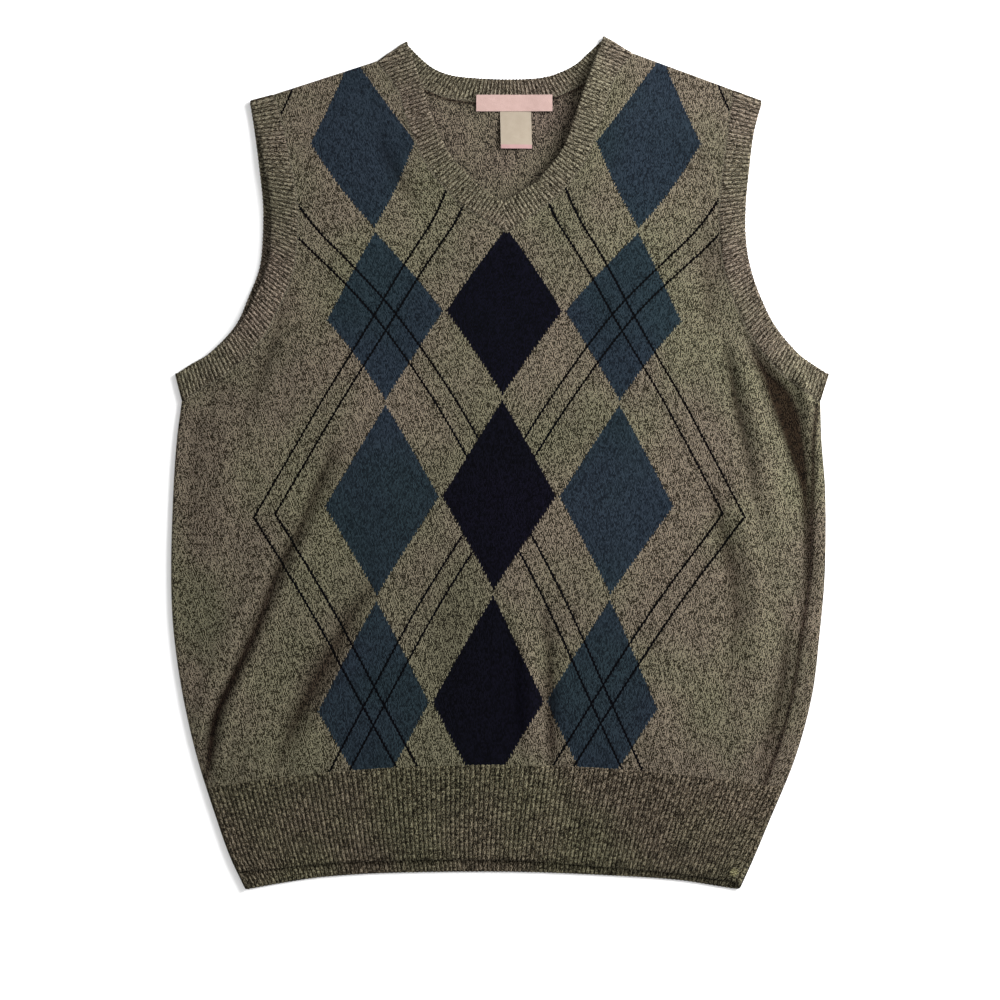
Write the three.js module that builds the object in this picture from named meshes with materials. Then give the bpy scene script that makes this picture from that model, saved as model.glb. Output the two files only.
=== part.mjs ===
// A knitted sweater vest with a V-neck and no sleeves, laid flat on its back with the front up.
// Sizes are millimetres. +Y points to the neck, +Z up, and the underside rests on z = 0.
// Left and right are as seen from above. Every piece is a wall of cloth: the back lies flat,
// the front lies over it, and the two meet in soft folds along the sides and the shoulders.

import * as THREE from 'three';

const WALL = 2;                  // thickness of the knit
const GAP = 0.3;                 // free space between two pieces at a seam
const FOLD_RADIUS = 1.6;         // middle of the wall, where the cloth folds at an edge
const FOLD_REACH = FOLD_RADIUS + WALL / 2;
const SEAM_RUN = 0.9;            // flat stretch between a fold and its seam
const SHOULDER_GAP = SEAM_RUN + GAP;
const BACK_MID = WALL / 2;       // height of the middle of the back wall
const FRONT_MID = BACK_MID + 2 * FOLD_RADIUS;
const FRONT_LOWEST = 3.9;        // the deepest crease still clears the back

const ARMBAND_WIDTH = 21;
const NECKBAND_WIDTH = 20;
const RIB_DEPTH = 0.6;
const BAND_RIB_PITCH = 3.4;
const NECK_RIB_PITCH = 3.1;
const HEM_RIB_PITCH = 3.7;

const LOFT = 3.2;                // how far the front puffs up over the back
const LOFT_REACH = { side: 70, shoulder: 60, hem: 110 };    // full puff this far inside an edge
const FOLD_FADE = { side: 18, shoulder: 25, hem: 60 };      // folds die out this near an edge
const HEM_REST_Y = -335;         // where the front lies down at the hem
const ROLL_BLEND_X = 60;         // from here to the right the front sinks to the rolled seam
const SEAM_DIP = 0.9;            // groove at the rolled side seam
const UNDERARM_Y = 48.6;
const HEM_SEAM = { middleY: -242, endY: -260, halfWidth: 232 };

// Outer edge of the sides, from the underarm down to the hem corners.
const SIDES = [
  { y: 48.6, left: -254.5, right: 256.0 },
  { y: 18, left: -258.5, right: 256.8 },
  { y: -22, left: -261.3, right: 259.8 },
  { y: -86, left: -263.1, right: 259.5 },
  { y: -132, left: -261.2, right: 255.6 },
  { y: -185, left: -253.6, right: 249.0 },
  { y: -240, left: -241.0, right: 234.1 },
  { y: -292, left: -224.5, right: 212.9 },
  { y: -317, left: -215.3, right: 202.5 },
  { y: -340.4, left: -204.2, right: 192.2 },
];

// Open edge of the front armholes, from the shoulder tip down to the underarm.
const ARMHOLES = [
  { y: 288.8, left: -199.7, right: 208.7 },
  { y: 262, left: -193.3, right: 202.3 },
  { y: 235, left: -187.6, right: 198.7 },
  { y: 206, left: -183.0, right: 195.9 },
  { y: 178, left: -182.8, right: 195.9 },
  { y: 155, left: -185.8, right: 199.6 },
  { y: 133, left: -195.1, right: 207.0 },
  { y: 109, left: -207.9, right: 218.9 },
  { y: 88, left: -229.5, right: 236.4 },
  { y: 78, left: -246.5, right: 249.5 },
  { y: 71, left: -260.2, right: 263.1 },
];
const ARMHOLE_SEAM_TOP = { left: { x: -180.4, y: 293.9 }, right: { x: 185.0, y: 297.6 } };

// The back armholes lie a little outside the front ones on the left, and inside on the right.
const BACK_ARMHOLE_SHIFT = { left: 7, right: -5 };

// Open edge of the V-neck, from the high point of each shoulder down to the point of the V.
const NECK_EDGES = {
  left: [
    { x: -74.2, y: 336.6 },
    { x: -63.4, y: 303.2 },
    { x: -57.3, y: 282.7 },
    { x: -50.6, y: 264.8 },
    { x: -40.5, y: 245.7 },
    { x: -30.4, y: 233.4 },
    { x: -16.9, y: 219.9 },
    { x: 2.2, y: 207.2 },
  ],
  right: [
    { x: 82.0, y: 340.9 },
    { x: 72.9, y: 314.2 },
    { x: 65.0, y: 291.7 },
    { x: 57.2, y: 268.2 },
    { x: 49.4, y: 249.0 },
    { x: 32.6, y: 227.8 },
    { x: 18.0, y: 216.5 },
    { x: 2.2, y: 207.2 },
  ],
};
const NECK_SEAM_TOP = { left: { x: -97.8, y: 320.6 }, right: { x: 105.0, y: 327.0 } };
const V_SEAM_POINT = { x: 5, y: 182.8 };

// Back neck: the open top edge of the band and the seam below it, from left to right.
const BACK_NECK = [
  { edgeX: -74.2, edgeY: 334.0, seamX: -97.8, seamY: 318.0 },
  { edgeX: -62.9, edgeY: 322.6, seamX: -79.0, seamY: 307.5 },
  { edgeX: -50.6, edgeY: 313.6, seamX: -59.0, seamY: 298.2 },
  { edgeX: -32.0, edgeY: 308.4, seamX: -37.0, seamY: 290.8 },
  { edgeX: 5.4, edgeY: 306.3, seamX: 5.0, seamY: 287.8 },
  { edgeX: 36.0, edgeY: 308.2, seamX: 42.0, seamY: 292.2 },
  { edgeX: 58.0, edgeY: 316.8, seamX: 64.0, seamY: 301.8 },
  { edgeX: 71.0, edgeY: 327.8, seamX: 85.0, seamY: 313.5 },
  { edgeX: 82.0, edgeY: 338.3, seamX: 105.0, seamY: 324.4 },
];

// Lower edges of the two hem ribs. The back one hangs a little lower and shows its inside.
const HEM_EDGES = [
  { x: -208, front: -326.0, back: -340.4 },
  { x: -184, front: -324.2, back: -336.4 },
  { x: -144, front: -320.2, back: -330.8 },
  { x: -88, front: -317.4, back: -327.4 },
  { x: 15, front: -316.8, back: -326.6 },
  { x: 112, front: -323.8, back: -330.6 },
  { x: 150, front: -327.0, back: -333.6 },
  { x: 180, front: -331.0, back: -338.0 },
  { x: 196, front: -333.0, back: -340.4 },
];

// The back rolls round the right side: radius of the roll and how far it laps over the top.
const RIGHT_ROLL = [
  { y: 48.6, radius: FOLD_RADIUS, lap: SEAM_RUN },
  { y: 10, radius: 2.2, lap: 7 },
  { y: -40, radius: 2.6, lap: 12 },
  { y: -250, radius: 2.5, lap: 13 },
  { y: -341, radius: 2.2, lap: 14 },
];
const FULL_LAP = 12;

// The largest folds of the front: start, middle and end of each crease line, half its width,
// and how far the cloth sinks (negative) or stands up (positive) along it.
const FOLDS = [
  { x0: -132, y0: -2, x1: -182, y1: -106, x2: -229, y2: -214, halfWidth: 24, lift: -2.6 },
  { x0: -226, y0: -190, x1: -231, y1: -236, x2: -226, y2: -280, halfWidth: 16, lift: -1.6 },
  { x0: -160, y0: 6, x1: -208, y1: -96, x2: -246, y2: -190, halfWidth: 26, lift: 1.5 },
  { x0: -130, y0: -144, x1: -152, y1: -186, x2: -174, y2: -238, halfWidth: 28, lift: -1.5 },
  { x0: 196, y0: 66, x1: 232, y1: 22, x2: 244, y2: -44, halfWidth: 18, lift: -2.8 },
  { x0: 184, y0: 84, x1: 193, y1: 44, x2: 196, y2: 8, halfWidth: 20, lift: -1.2 },
  { x0: 212, y0: 20, x1: 218, y1: -30, x2: 222, y2: -110, halfWidth: 24, lift: 1.3 },
  { x0: 34, y0: 214, x1: 60, y1: 262, x2: 76, y2: 316, halfWidth: 30, lift: 2.6 },
  { x0: -30, y0: 222, x1: -56, y1: 264, x2: -68, y2: 312, halfWidth: 24, lift: 1.0 },
  { x0: 176, y0: 0, x1: 178, y1: -40, x2: 168, y2: -90, halfWidth: 30, lift: -1.0 },
];

const LABEL = { left: -19.1, right: 41.7, bottom: 280.2, top: 293.4, wall: 1 };
const LABEL_LIFT = { height: 1.2, from: 0.5 };     // the right half rises off the seam
const LABEL_SHARES = [0, 0.5, 0.8, 1];
const TAB = { left: -0.2, right: 24.6, bottom: 250.4, top: 279.9, wall: 1, lean: 0.8 };

// How finely each stretch is divided.
const BODY_ROWS = 17;
const ARM_KNOTS = 18;
const NECK_KNOTS = 7;
const FRONT_HALF_COLUMNS = 14;
const BACK_COLUMNS = 8;
const FOLD_STEPS = 4;
const LAP_STEPS = { left: 1, right: 2 };
const BACK_NECK_KNOTS = 12;
const SHOULDER_KNOTS = 3;
const FOLD_SAMPLES = 12;         // steps along a crease line
const FOLD_END_SHARE = 0.12;     // a crease starts and ends with this share of its swing
const HEM_PLAIN_STATIONS = 4;    // the hem's folded ends stay smooth

const MARL = { color: 0x5a5646, roughness: 0.95, metalness: 0 };
const MARL_BACK = { color: 0x5a5247, roughness: 0.95, metalness: 0 };
const RIB = { color: 0x4b4638, roughness: 0.95, metalness: 0 };
const PINK_SATIN = { color: 0xd9b3ac, roughness: 0.45, metalness: 0 };
const CREAM_TAPE = { color: 0xd6cab4, roughness: 0.6, metalness: 0 };

const clamp01 = (value) => Math.min(1, Math.max(0, value));
const mix = (a, b, share) => a + (b - a) * share;
const ease = (value) => {
  const t = clamp01(value);
  return t * t * (3 - 2 * t);
};
const signOf = (side) => (side === 'left' ? -1 : 1);

// Smooth reading of one column of a table whose rows are in order of the key column.
function readTable(table, key, column, at) {
  const rising = table[0][key] < table[table.length - 1][key];
  const rows = rising ? table : [...table].reverse();
  const last = rows.length - 1;
  const place = Math.min(Math.max(at, rows[0][key]), rows[last][key]);
  let i = 0;
  while (i < last - 1 && place > rows[i + 1][key]) i += 1;
  const slope = (k) => {
    const before = rows[Math.max(k - 1, 0)];
    const after = rows[Math.min(k + 1, last)];
    return (after[column] - before[column]) / (after[key] - before[key]);
  };
  const span = rows[i + 1][key] - rows[i][key];
  const t = (place - rows[i][key]) / span;
  const startShare = 2 * t ** 3 - 3 * t ** 2 + 1;
  const startBend = (t ** 3 - 2 * t ** 2 + t) * span;
  const endBend = (t ** 3 - t ** 2) * span;
  return startShare * rows[i][column] + (1 - startShare) * rows[i + 1][column]
    + startBend * slope(i) + endBend * slope(i + 1);
}

function evenPoints(points, count) {
  const curve = new THREE.SplineCurve(points.map((p) => new THREE.Vector2(p.x, p.y)));
  return curve.getSpacedPoints(count);
}

// Moves a line of points sideways, to the left of its run for a positive width.
function offsetPoints(points, width) {
  return points.map((point, i) => {
    const before = points[Math.max(i - 1, 0)];
    const after = points[Math.min(i + 1, points.length - 1)];
    const along = new THREE.Vector2(after.x - before.x, after.y - before.y).normalize();
    return { x: point.x - along.y * width, y: point.y + along.x * width };
  });
}

function roll(side, y) {
  if (side === 'left') return { radius: FOLD_RADIUS, lap: SEAM_RUN };
  return {
    radius: readTable(RIGHT_ROLL, 'y', 'radius', y),
    lap: Math.max(SEAM_RUN, readTable(RIGHT_ROLL, 'y', 'lap', y)),
  };
}

// Where the back wall stops lying flat and starts to fold up at a side.
function flatEndX(side, y) {
  return readTable(SIDES, 'y', side, y) - signOf(side) * (roll(side, y).radius + WALL / 2);
}

// The side seam, where the rolled back meets the front.
function sideSeam(side, y) {
  const { radius, lap } = roll(side, y);
  return {
    x: flatEndX(side, y) - signOf(side) * lap,
    z: BACK_MID + 2 * radius - SEAM_DIP * clamp01((lap - SEAM_RUN) / FULL_LAP),
  };
}

function hemSeamY(x) {
  return mix(HEM_SEAM.middleY, HEM_SEAM.endY, (x / HEM_SEAM.halfWidth) ** 2);
}

// Edge and seam of one armband, from the shoulder to the underarm, at matching points.
function armholeLines(side, layer) {
  const sign = signOf(side);
  const top = ARMHOLES[0].y;
  const bottom = ARMHOLES[ARMHOLES.length - 1].y;
  const shift = layer === 'back' ? BACK_ARMHOLE_SHIFT[side] : 0;
  const edge = ARMHOLES.map((row) => ({
    x: row[side] + sign * shift * Math.sin(Math.PI * (row.y - bottom) / (top - bottom)),
    y: row.y,
  }));
  const seam = offsetPoints(edge, -sign * ARMBAND_WIDTH);
  const seamTop = ARMHOLE_SEAM_TOP[side];
  edge[0].y -= FOLD_REACH;
  seam[0] = { x: seamTop.x, y: seamTop.y - FOLD_REACH };
  edge[edge.length - 1].x -= sign * FOLD_REACH;
  seam[seam.length - 1] = { x: flatEndX(side, UNDERARM_Y), y: UNDERARM_Y + GAP / 2 };
  return { edge: evenPoints(edge, ARM_KNOTS), seam: evenPoints(seam, ARM_KNOTS) };
}

// Edge and seam of one side of the V-neck, from the shoulder to the point of the V.
function neckLines(side) {
  const edge = NECK_EDGES[side].map((row) => ({ ...row }));
  const seam = offsetPoints(edge, signOf(side) * NECKBAND_WIDTH);
  edge[0].y -= FOLD_REACH;
  seam[0] = { x: NECK_SEAM_TOP[side].x, y: NECK_SEAM_TOP[side].y - FOLD_REACH };
  seam[seam.length - 1] = { ...V_SEAM_POINT };
  return { edge: evenPoints(edge, NECK_KNOTS), seam: evenPoints(seam, NECK_KNOTS) };
}

function shoulderY(x) {
  const side = x < V_SEAM_POINT.x ? 'left' : 'right';
  const tip = ARMHOLE_SEAM_TOP[side];
  const neck = NECK_SEAM_TOP[side];
  return mix(tip.y, neck.y, (x - tip.x) / (neck.x - tip.x)) - FOLD_REACH;
}

// Lift of one fold at a point: full on its crease line, soft across and towards both ends.
function foldLift(fold, x, y) {
  let best = { distance: Infinity, share: 0 };
  for (let i = 0; i <= FOLD_SAMPLES; i += 1) {
    const t = i / FOLD_SAMPLES;
    const fx = mix(mix(fold.x0, fold.x1, t), mix(fold.x1, fold.x2, t), t);
    const fy = mix(mix(fold.y0, fold.y1, t), mix(fold.y1, fold.y2, t), t);
    const distance = Math.hypot(x - fx, y - fy);
    if (distance < best.distance) best = { distance, share: t };
  }
  if (best.distance >= fold.halfWidth) return 0;
  const across = Math.cos(Math.PI * best.distance / (2 * fold.halfWidth)) ** 2;
  const along = Math.sin(Math.PI * mix(FOLD_END_SHARE, 1 - FOLD_END_SHARE, best.share));
  return fold.lift * across * along;
}

// Height of the middle of the front wall. It meets the back's height at sides and shoulders.
function frontHeight(x, y) {
  const sideY = Math.min(y, UNDERARM_Y);
  const left = sideSeam('left', sideY);
  const right = sideSeam('right', sideY);
  const edge = mix(FRONT_MID, right.z, ease((x - ROLL_BLEND_X) / (right.x - ROLL_BLEND_X)));
  const fromSide = Math.min(x - left.x, right.x - x);
  const fromShoulder = shoulderY(x) - y;
  const fromHem = y - HEM_REST_Y;
  const within = (reach) => ease(fromSide / reach.side)
    * ease(fromShoulder / reach.shoulder) * ease(fromHem / reach.hem);
  const folds = FOLDS.reduce((sum, fold) => sum + foldLift(fold, x, y), 0);
  return Math.max(FRONT_LOWEST, edge + LOFT * within(LOFT_REACH) + folds * within(FOLD_FADE));
}

const frontPoint = (p) => new THREE.Vector3(p.x, p.y, frontHeight(p.x, p.y));
const backPoint = (p) => new THREE.Vector3(p.x, p.y, BACK_MID);

// Points round a fold, from just after the start to lying over or under it.
function foldPoints(start, outward, rise, radius) {
  return Array.from({ length: FOLD_STEPS }, (_, i) => {
    const angle = Math.PI * (i + 1) / FOLD_STEPS;
    return start.clone()
      .addScaledVector(outward, radius * Math.sin(angle))
      .add(new THREE.Vector3(0, 0, rise * radius * (1 - Math.cos(angle))));
  });
}

// The front's fold over a shoulder, down to the height of the back.
function overShoulder(start) {
  const points = foldPoints(start, new THREE.Vector3(0, 1, 0), -1, (start.z - BACK_MID) / 2);
  return [...points, new THREE.Vector3(start.x, start.y - SEAM_RUN, BACK_MID)];
}

// The back's roll round one side, with its lap, up to the side seam.
function roundSide(start, side) {
  const { radius, lap } = roll(side, start.y);
  const outward = new THREE.Vector3(signOf(side), 0, 0);
  const points = foldPoints(start, outward, 1, radius);
  const top = points[points.length - 1];
  const seamZ = sideSeam(side, start.y).z;
  for (let i = 1; i <= LAP_STEPS[side]; i += 1) {
    const share = i / LAP_STEPS[side];
    const x = top.x - signOf(side) * lap * share;
    points.push(new THREE.Vector3(x, start.y, mix(top.z, seamZ, share * share)));
  }
  return points;
}

// Triangles between two rows of point numbers that run the same way, matched by their shares.
function zipRows(lower, upper, lowerShares, upperShares) {
  const triangles = [];
  let i = 0;
  let j = 0;
  while (i < lower.length - 1 || j < upper.length - 1) {
    const nextLower = i < lower.length - 1 ? lowerShares[i] + lowerShares[i + 1] : Infinity;
    const nextUpper = j < upper.length - 1 ? upperShares[j] + upperShares[j + 1] : Infinity;
    if (nextLower <= nextUpper) {
      triangles.push([lower[i], lower[i + 1], upper[j]]);
      i += 1;
    } else {
      triangles.push([lower[i], upper[j + 1], upper[j]]);
      j += 1;
    }
  }
  return triangles;
}

const evenShares = (row) => row.map((_, i) => i / (row.length - 1));

// A net of points and triangles; rows that share a point share its number.
function makeNet() {
  const points = [];
  const numbers = new Map();
  const triangles = [];
  const numberOf = (point) => {
    const name = point.toArray().map((value) => value.toFixed(3)).join(' ');
    if (!numbers.has(name)) numbers.set(name, points.push(point.clone()) - 1);
    return numbers.get(name);
  };
  const addRows = (rows) => {
    for (let r = 0; r < rows.length - 1; r += 1) {
      const lower = rows[r].map(numberOf);
      const upper = rows[r + 1].map(numberOf);
      triangles.push(...zipRows(lower, upper, evenShares(lower), evenShares(upper)));
    }
  };
  return { points, triangles, addRows };
}

function netNormals({ points, triangles }) {
  const normals = points.map(() => new THREE.Vector3());
  const ab = new THREE.Vector3();
  const ac = new THREE.Vector3();
  for (const [a, b, c] of triangles) {
    ab.subVectors(points[b], points[a]);
    ac.subVectors(points[c], points[a]);
    ab.cross(ac);
    for (const corner of [a, b, c]) normals[corner].add(ab);
  }
  return normals.map((normal) => normal.normalize());
}

// Thickens a net to a closed wall: both faces, and a rim along every open edge.
function thicken(net, wall) {
  const normals = netNormals(net);
  const half = wall / 2;
  const count = net.points.length;
  const top = net.points.map((p, i) => p.clone().addScaledVector(normals[i], half));
  const bottom = net.points.map((p, i) => p.clone().addScaledVector(normals[i], -half));
  const triangles = [];
  const used = new Set();
  for (const [a, b, c] of net.triangles) {
    triangles.push([a, b, c], [a + count, c + count, b + count]);
    for (const [from, to] of [[a, b], [b, c], [c, a]]) used.add(`${from} ${to}`);
  }
  for (const pair of used) {
    const [from, to] = pair.split(' ').map(Number);
    if (used.has(`${to} ${from}`)) continue;
    triangles.push([to, from, from + count], [to, from + count, to + count]);
  }
  return { points: [...top, ...bottom], triangles };
}

function toGeometry({ points, triangles }) {
  const geometry = new THREE.BufferGeometry().setFromPoints(points);
  geometry.setIndex(triangles.flat());
  geometry.computeVertexNormals();
  return geometry;
}

// A strip runs between rails: lines of knots with the same count, side by side across it.
function railNormals(rails) {
  return rails.map((rail, r) => rail.map((_, k) => {
    const along = new THREE.Vector3().subVectors(
      rail[Math.min(k + 1, rail.length - 1)], rail[Math.max(k - 1, 0)]);
    const across = new THREE.Vector3().subVectors(
      rails[Math.min(r + 1, rails.length - 1)][k], rails[Math.max(r - 1, 0)][k]);
    return along.cross(across).normalize();
  }));
}

function atStation(values, station) {
  const k = Math.min(Math.floor(station), values.length - 2);
  return values[k].clone().lerp(values[k + 1], station - k);
}

// Stations of a ribbed stretch between two knots: a valley and a crest for every rib.
function ribStations(rail, fromKnot, toKnot, pitch) {
  const lengths = [0];
  for (let k = fromKnot; k < toKnot; k += 1) {
    lengths.push(lengths[lengths.length - 1] + rail[k].distanceTo(rail[k + 1]));
  }
  const total = lengths[lengths.length - 1];
  const ribs = Math.max(1, Math.round(total / pitch));
  return Array.from({ length: 2 * ribs + 1 }, (_, i) => {
    const run = total * i / (2 * ribs);
    let k = 0;
    while (k < lengths.length - 2 && run > lengths[k + 1]) k += 1;
    const share = (run - lengths[k]) / (lengths[k + 1] - lengths[k]);
    return { at: fromKnot + k + Math.min(1, share), lift: i % 2 ? RIB_DEPTH : 0 };
  });
}

const plainStations = (fromKnot, toKnot) => Array.from(
  { length: toKnot - fromKnot + 1 }, (_, i) => ({ at: fromKnot + i, lift: 0 }));

// Ribs of a band that starts with a fold over the shoulder: none on the part that rests flat.
function ribsPastFold(rail, pitch) {
  const foldMiddle = 1 + FOLD_STEPS / 2;
  return [
    ...plainStations(0, foldMiddle - 1),
    ...ribStations(rail, foldMiddle, rail.length - 1, pitch),
  ];
}

// A closed wall along rails, with its own stations on the upper and on the lower face.
function stripWall(rails, upperStations, lowerStations, wall) {
  const normals = railNormals(rails);
  const points = [];
  const triangles = [];
  const addFace = (stations, side) => rails.map((rail, r) => stations.map((station) => {
    const normal = atStation(normals[r], station.at).normalize();
    const reach = side * (wall / 2 + station.lift);
    return points.push(atStation(rail, station.at).addScaledVector(normal, reach)) - 1;
  }));
  const upper = addFace(upperStations, 1);
  const lower = addFace(lowerStations, -1);
  const upperShares = upperStations.map((station) => station.at);
  const lowerShares = lowerStations.map((station) => station.at);
  const flipped = (list) => list.map(([a, b, c]) => [a, c, b]);
  for (let r = 0; r < rails.length - 1; r += 1) {
    triangles.push(...zipRows(upper[r], upper[r + 1], upperShares, upperShares));
    triangles.push(...flipped(zipRows(lower[r], lower[r + 1], lowerShares, lowerShares)));
  }
  const last = rails.length - 1;
  triangles.push(...zipRows(lower[0], upper[0], lowerShares, upperShares));
  triangles.push(...flipped(zipRows(lower[last], upper[last], lowerShares, upperShares)));
  const ends = [0, 1].map((end) => [upper, lower].map((face) => face.map(
    (row) => row[end ? row.length - 1 : 0])));
  const rungs = rails.map((_, r) => r);
  triangles.push(...flipped(zipRows(ends[0][1], ends[0][0], rungs, rungs)));
  triangles.push(...zipRows(ends[1][1], ends[1][0], rungs, rungs));
  return { points, triangles };
}

// Rails between a seam and an open edge, held a gap away from the seam.
function bandRails(seam, edge) {
  const start = seam.map((p, i) => p.clone().lerp(edge[i], GAP / p.distanceTo(edge[i])));
  return [start, edge];
}

// One row of panel points between two ends, bent so that it passes through a middle point.
function bentRow(left, right, middle, columns) {
  return Array.from({ length: columns + 1 }, (_, i) => {
    const share = i / columns;
    const bend = 1 - (2 * share - 1) ** 2;
    return {
      x: mix(left.x, right.x, share) + bend * (middle.x - (left.x + right.x) / 2),
      y: mix(left.y, right.y, share) + bend * (middle.y - (left.y + right.y) / 2),
    };
  });
}

function bodyEnd(side, row, inset) {
  const hemY = hemSeamY(flatEndX(side, HEM_SEAM.endY));
  const y = mix(hemY, UNDERARM_Y, row / BODY_ROWS);
  return { x: sideSeam(side, y).x - signOf(side) * inset, y };
}

// Rows of the front from the hem seam up to the point of the V.
function frontFullRows() {
  const armholes = { left: armholeLines('left', 'front'), right: armholeLines('right', 'front') };
  const ends = [];
  for (let row = 0; row <= BODY_ROWS; row += 1) {
    ends.push([bodyEnd('left', row, GAP), bodyEnd('right', row, GAP)]);
  }
  for (let knot = ARM_KNOTS - 1; knot >= NECK_KNOTS; knot -= 1) {
    ends.push([armholes.left.seam[knot], armholes.right.seam[knot]]);
  }
  const heightOf = ([left, right]) => (left.y + right.y) / 2;
  const first = heightOf(ends[0]);
  const span = heightOf(ends[ends.length - 1]) - first;
  return ends.map((pair) => {
    const share = (heightOf(pair) - first) / span;
    const centreX = (pair[0].x + pair[1].x) / 2;
    const middle = {
      x: mix(centreX, V_SEAM_POINT.x, ease(share)),
      y: mix(HEM_SEAM.middleY, V_SEAM_POINT.y, share),
    };
    return bentRow(pair[0], pair[1], middle, 2 * FRONT_HALF_COLUMNS);
  });
}

// Rows beside the V on one side, from the point of the V up to the shoulder and over it.
function frontShoulderRows(side, firstRow) {
  const outer = armholeLines(side, 'front').seam;
  const inner = neckLines(side).seam;
  const rows = [firstRow.map(frontPoint)];
  for (let knot = NECK_KNOTS - 1; knot >= 0; knot -= 1) {
    const [left, right] = side === 'left' ? [outer[knot], inner[knot]] : [inner[knot], outer[knot]];
    const middle = { x: (left.x + right.x) / 2, y: (left.y + right.y) / 2 };
    rows.push(bentRow(left, right, middle, FRONT_HALF_COLUMNS).map(frontPoint));
  }
  const folded = rows[rows.length - 1].map(overShoulder);
  for (let step = 0; step <= FOLD_STEPS; step += 1) rows.push(folded.map((points) => points[step]));
  return rows;
}

function frontPanel() {
  const net = makeNet();
  const fullRows = frontFullRows();
  const vRow = fullRows[fullRows.length - 1];
  net.addRows(fullRows.map((row) => row.map(frontPoint)));
  net.addRows(frontShoulderRows('left', vRow.slice(0, FRONT_HALF_COLUMNS + 1)));
  net.addRows(frontShoulderRows('right', vRow.slice(FRONT_HALF_COLUMNS)));
  return thicken(net, WALL);
}

function backNeckPoints(edgeName, count) {
  const points = BACK_NECK.map((row) => ({ x: row[`${edgeName}X`], y: row[`${edgeName}Y`] }));
  return evenPoints(points, count);
}

function backTopRow() {
  const neck = backNeckPoints('seam', BACK_NECK_KNOTS);
  const shoulder = (side) => Array.from({ length: SHOULDER_KNOTS }, (_, i) => {
    const x = mix(ARMHOLE_SEAM_TOP[side].x, NECK_SEAM_TOP[side].x, i / SHOULDER_KNOTS);
    return { x, y: shoulderY(x) };
  });
  const row = [...shoulder('left'), ...neck, ...shoulder('right').reverse()];
  return row.map((p) => backPoint({ x: p.x, y: p.y - SHOULDER_GAP }));
}

function backRow(left, right) {
  return Array.from({ length: BACK_COLUMNS + 1 }, (_, i) => backPoint({
    x: mix(left.x, right.x, i / BACK_COLUMNS),
    y: mix(left.y, right.y, i / BACK_COLUMNS),
  }));
}

function backBodyRow(row) {
  const [left, right] = ['left', 'right'].map((side) => {
    const { y } = bodyEnd(side, row, 0);
    return { x: flatEndX(side, y), y };
  });
  return backRow(left, right);
}

const backHemRow = () => backBodyRow(0).map((p) => backPoint({ x: p.x, y: hemSeamY(p.x) }));

function backPanel() {
  const net = makeNet();
  const bodyRows = [];
  let flat;
  for (let row = 0; row <= BODY_ROWS; row += 1) {
    flat = row === 0 ? backHemRow() : backBodyRow(row);
    const left = roundSide(flat[0], 'left').reverse();
    const right = roundSide(flat[flat.length - 1], 'right');
    bodyRows.push([...left, ...flat, ...right]);
  }
  net.addRows(bodyRows);
  const left = armholeLines('left', 'back').seam;
  const right = armholeLines('right', 'back').seam;
  const upperRows = [flat];
  for (let knot = ARM_KNOTS - 1; knot > 0; knot -= 1) {
    upperRows.push(backRow(left[knot], right[knot]));
  }
  net.addRows([...upperRows, backTopRow()]);
  return thicken(net, WALL);
}

function neckbandFront(side) {
  const { edge, seam } = neckLines(side);
  const away = signOf(side) * GAP / 2;
  const finish = (line) => {
    const knots = line.map(frontPoint);
    knots[knots.length - 1].x += away;
    return [...overShoulder(knots[0]).reverse(), ...knots];
  };
  const rails = bandRails(finish(seam), finish(edge));
  if (side === 'right') rails.reverse();
  const last = rails[0].length - 1;
  return stripWall(rails, ribsPastFold(rails[1], NECK_RIB_PITCH), plainStations(0, last), WALL);
}

function neckbandBack() {
  const seam = backNeckPoints('seam', BACK_NECK_KNOTS).map(backPoint);
  const edge = backNeckPoints('edge', BACK_NECK_KNOTS).map(backPoint);
  for (const line of [seam, edge]) {
    line[0].y -= SHOULDER_GAP;
    line[line.length - 1].y -= SHOULDER_GAP;
  }
  const rails = bandRails(seam, edge);
  const ribs = ribStations(rails[1], 0, BACK_NECK_KNOTS, NECK_RIB_PITCH);
  return stripWall(rails, ribs, plainStations(0, BACK_NECK_KNOTS), WALL);
}

function armbandFront(side) {
  const { edge, seam } = armholeLines(side, 'front');
  const finish = (line) => {
    const knots = line.map(frontPoint);
    knots[knots.length - 1].x -= signOf(side) * (SEAM_RUN + GAP);
    return [...overShoulder(knots[0]).reverse(), ...knots];
  };
  const rails = bandRails(finish(seam), finish(edge));
  if (side === 'left') rails.reverse();
  const last = rails[0].length - 1;
  return stripWall(rails, ribsPastFold(rails[1], BAND_RIB_PITCH), plainStations(0, last), WALL);
}

function armbandBack(side) {
  const { edge, seam } = armholeLines(side, 'back');
  const finish = (line) => {
    const knots = line.map(backPoint);
    knots[0].y -= SHOULDER_GAP;
    return [...knots, ...roundSide(knots[knots.length - 1], side)];
  };
  const rails = bandRails(finish(seam), finish(edge));
  if (side === 'left') rails.reverse();
  const last = rails[0].length - 1;
  const ribs = ribStations(rails[1], 0, ARM_KNOTS - 1, BAND_RIB_PITCH);
  const upper = [...ribs, ...plainStations(ARM_KNOTS, last)];
  return stripWall(rails, upper, plainStations(0, last), WALL);
}

// Height of one hem line at a share of the way across, before the wall's own gap.
function hemEdgeY(layer, across) {
  const first = HEM_EDGES[0].x;
  const last = HEM_EDGES[HEM_EDGES.length - 1].x;
  return readTable(HEM_EDGES, 'x', layer, mix(first, last, across));
}

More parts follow.
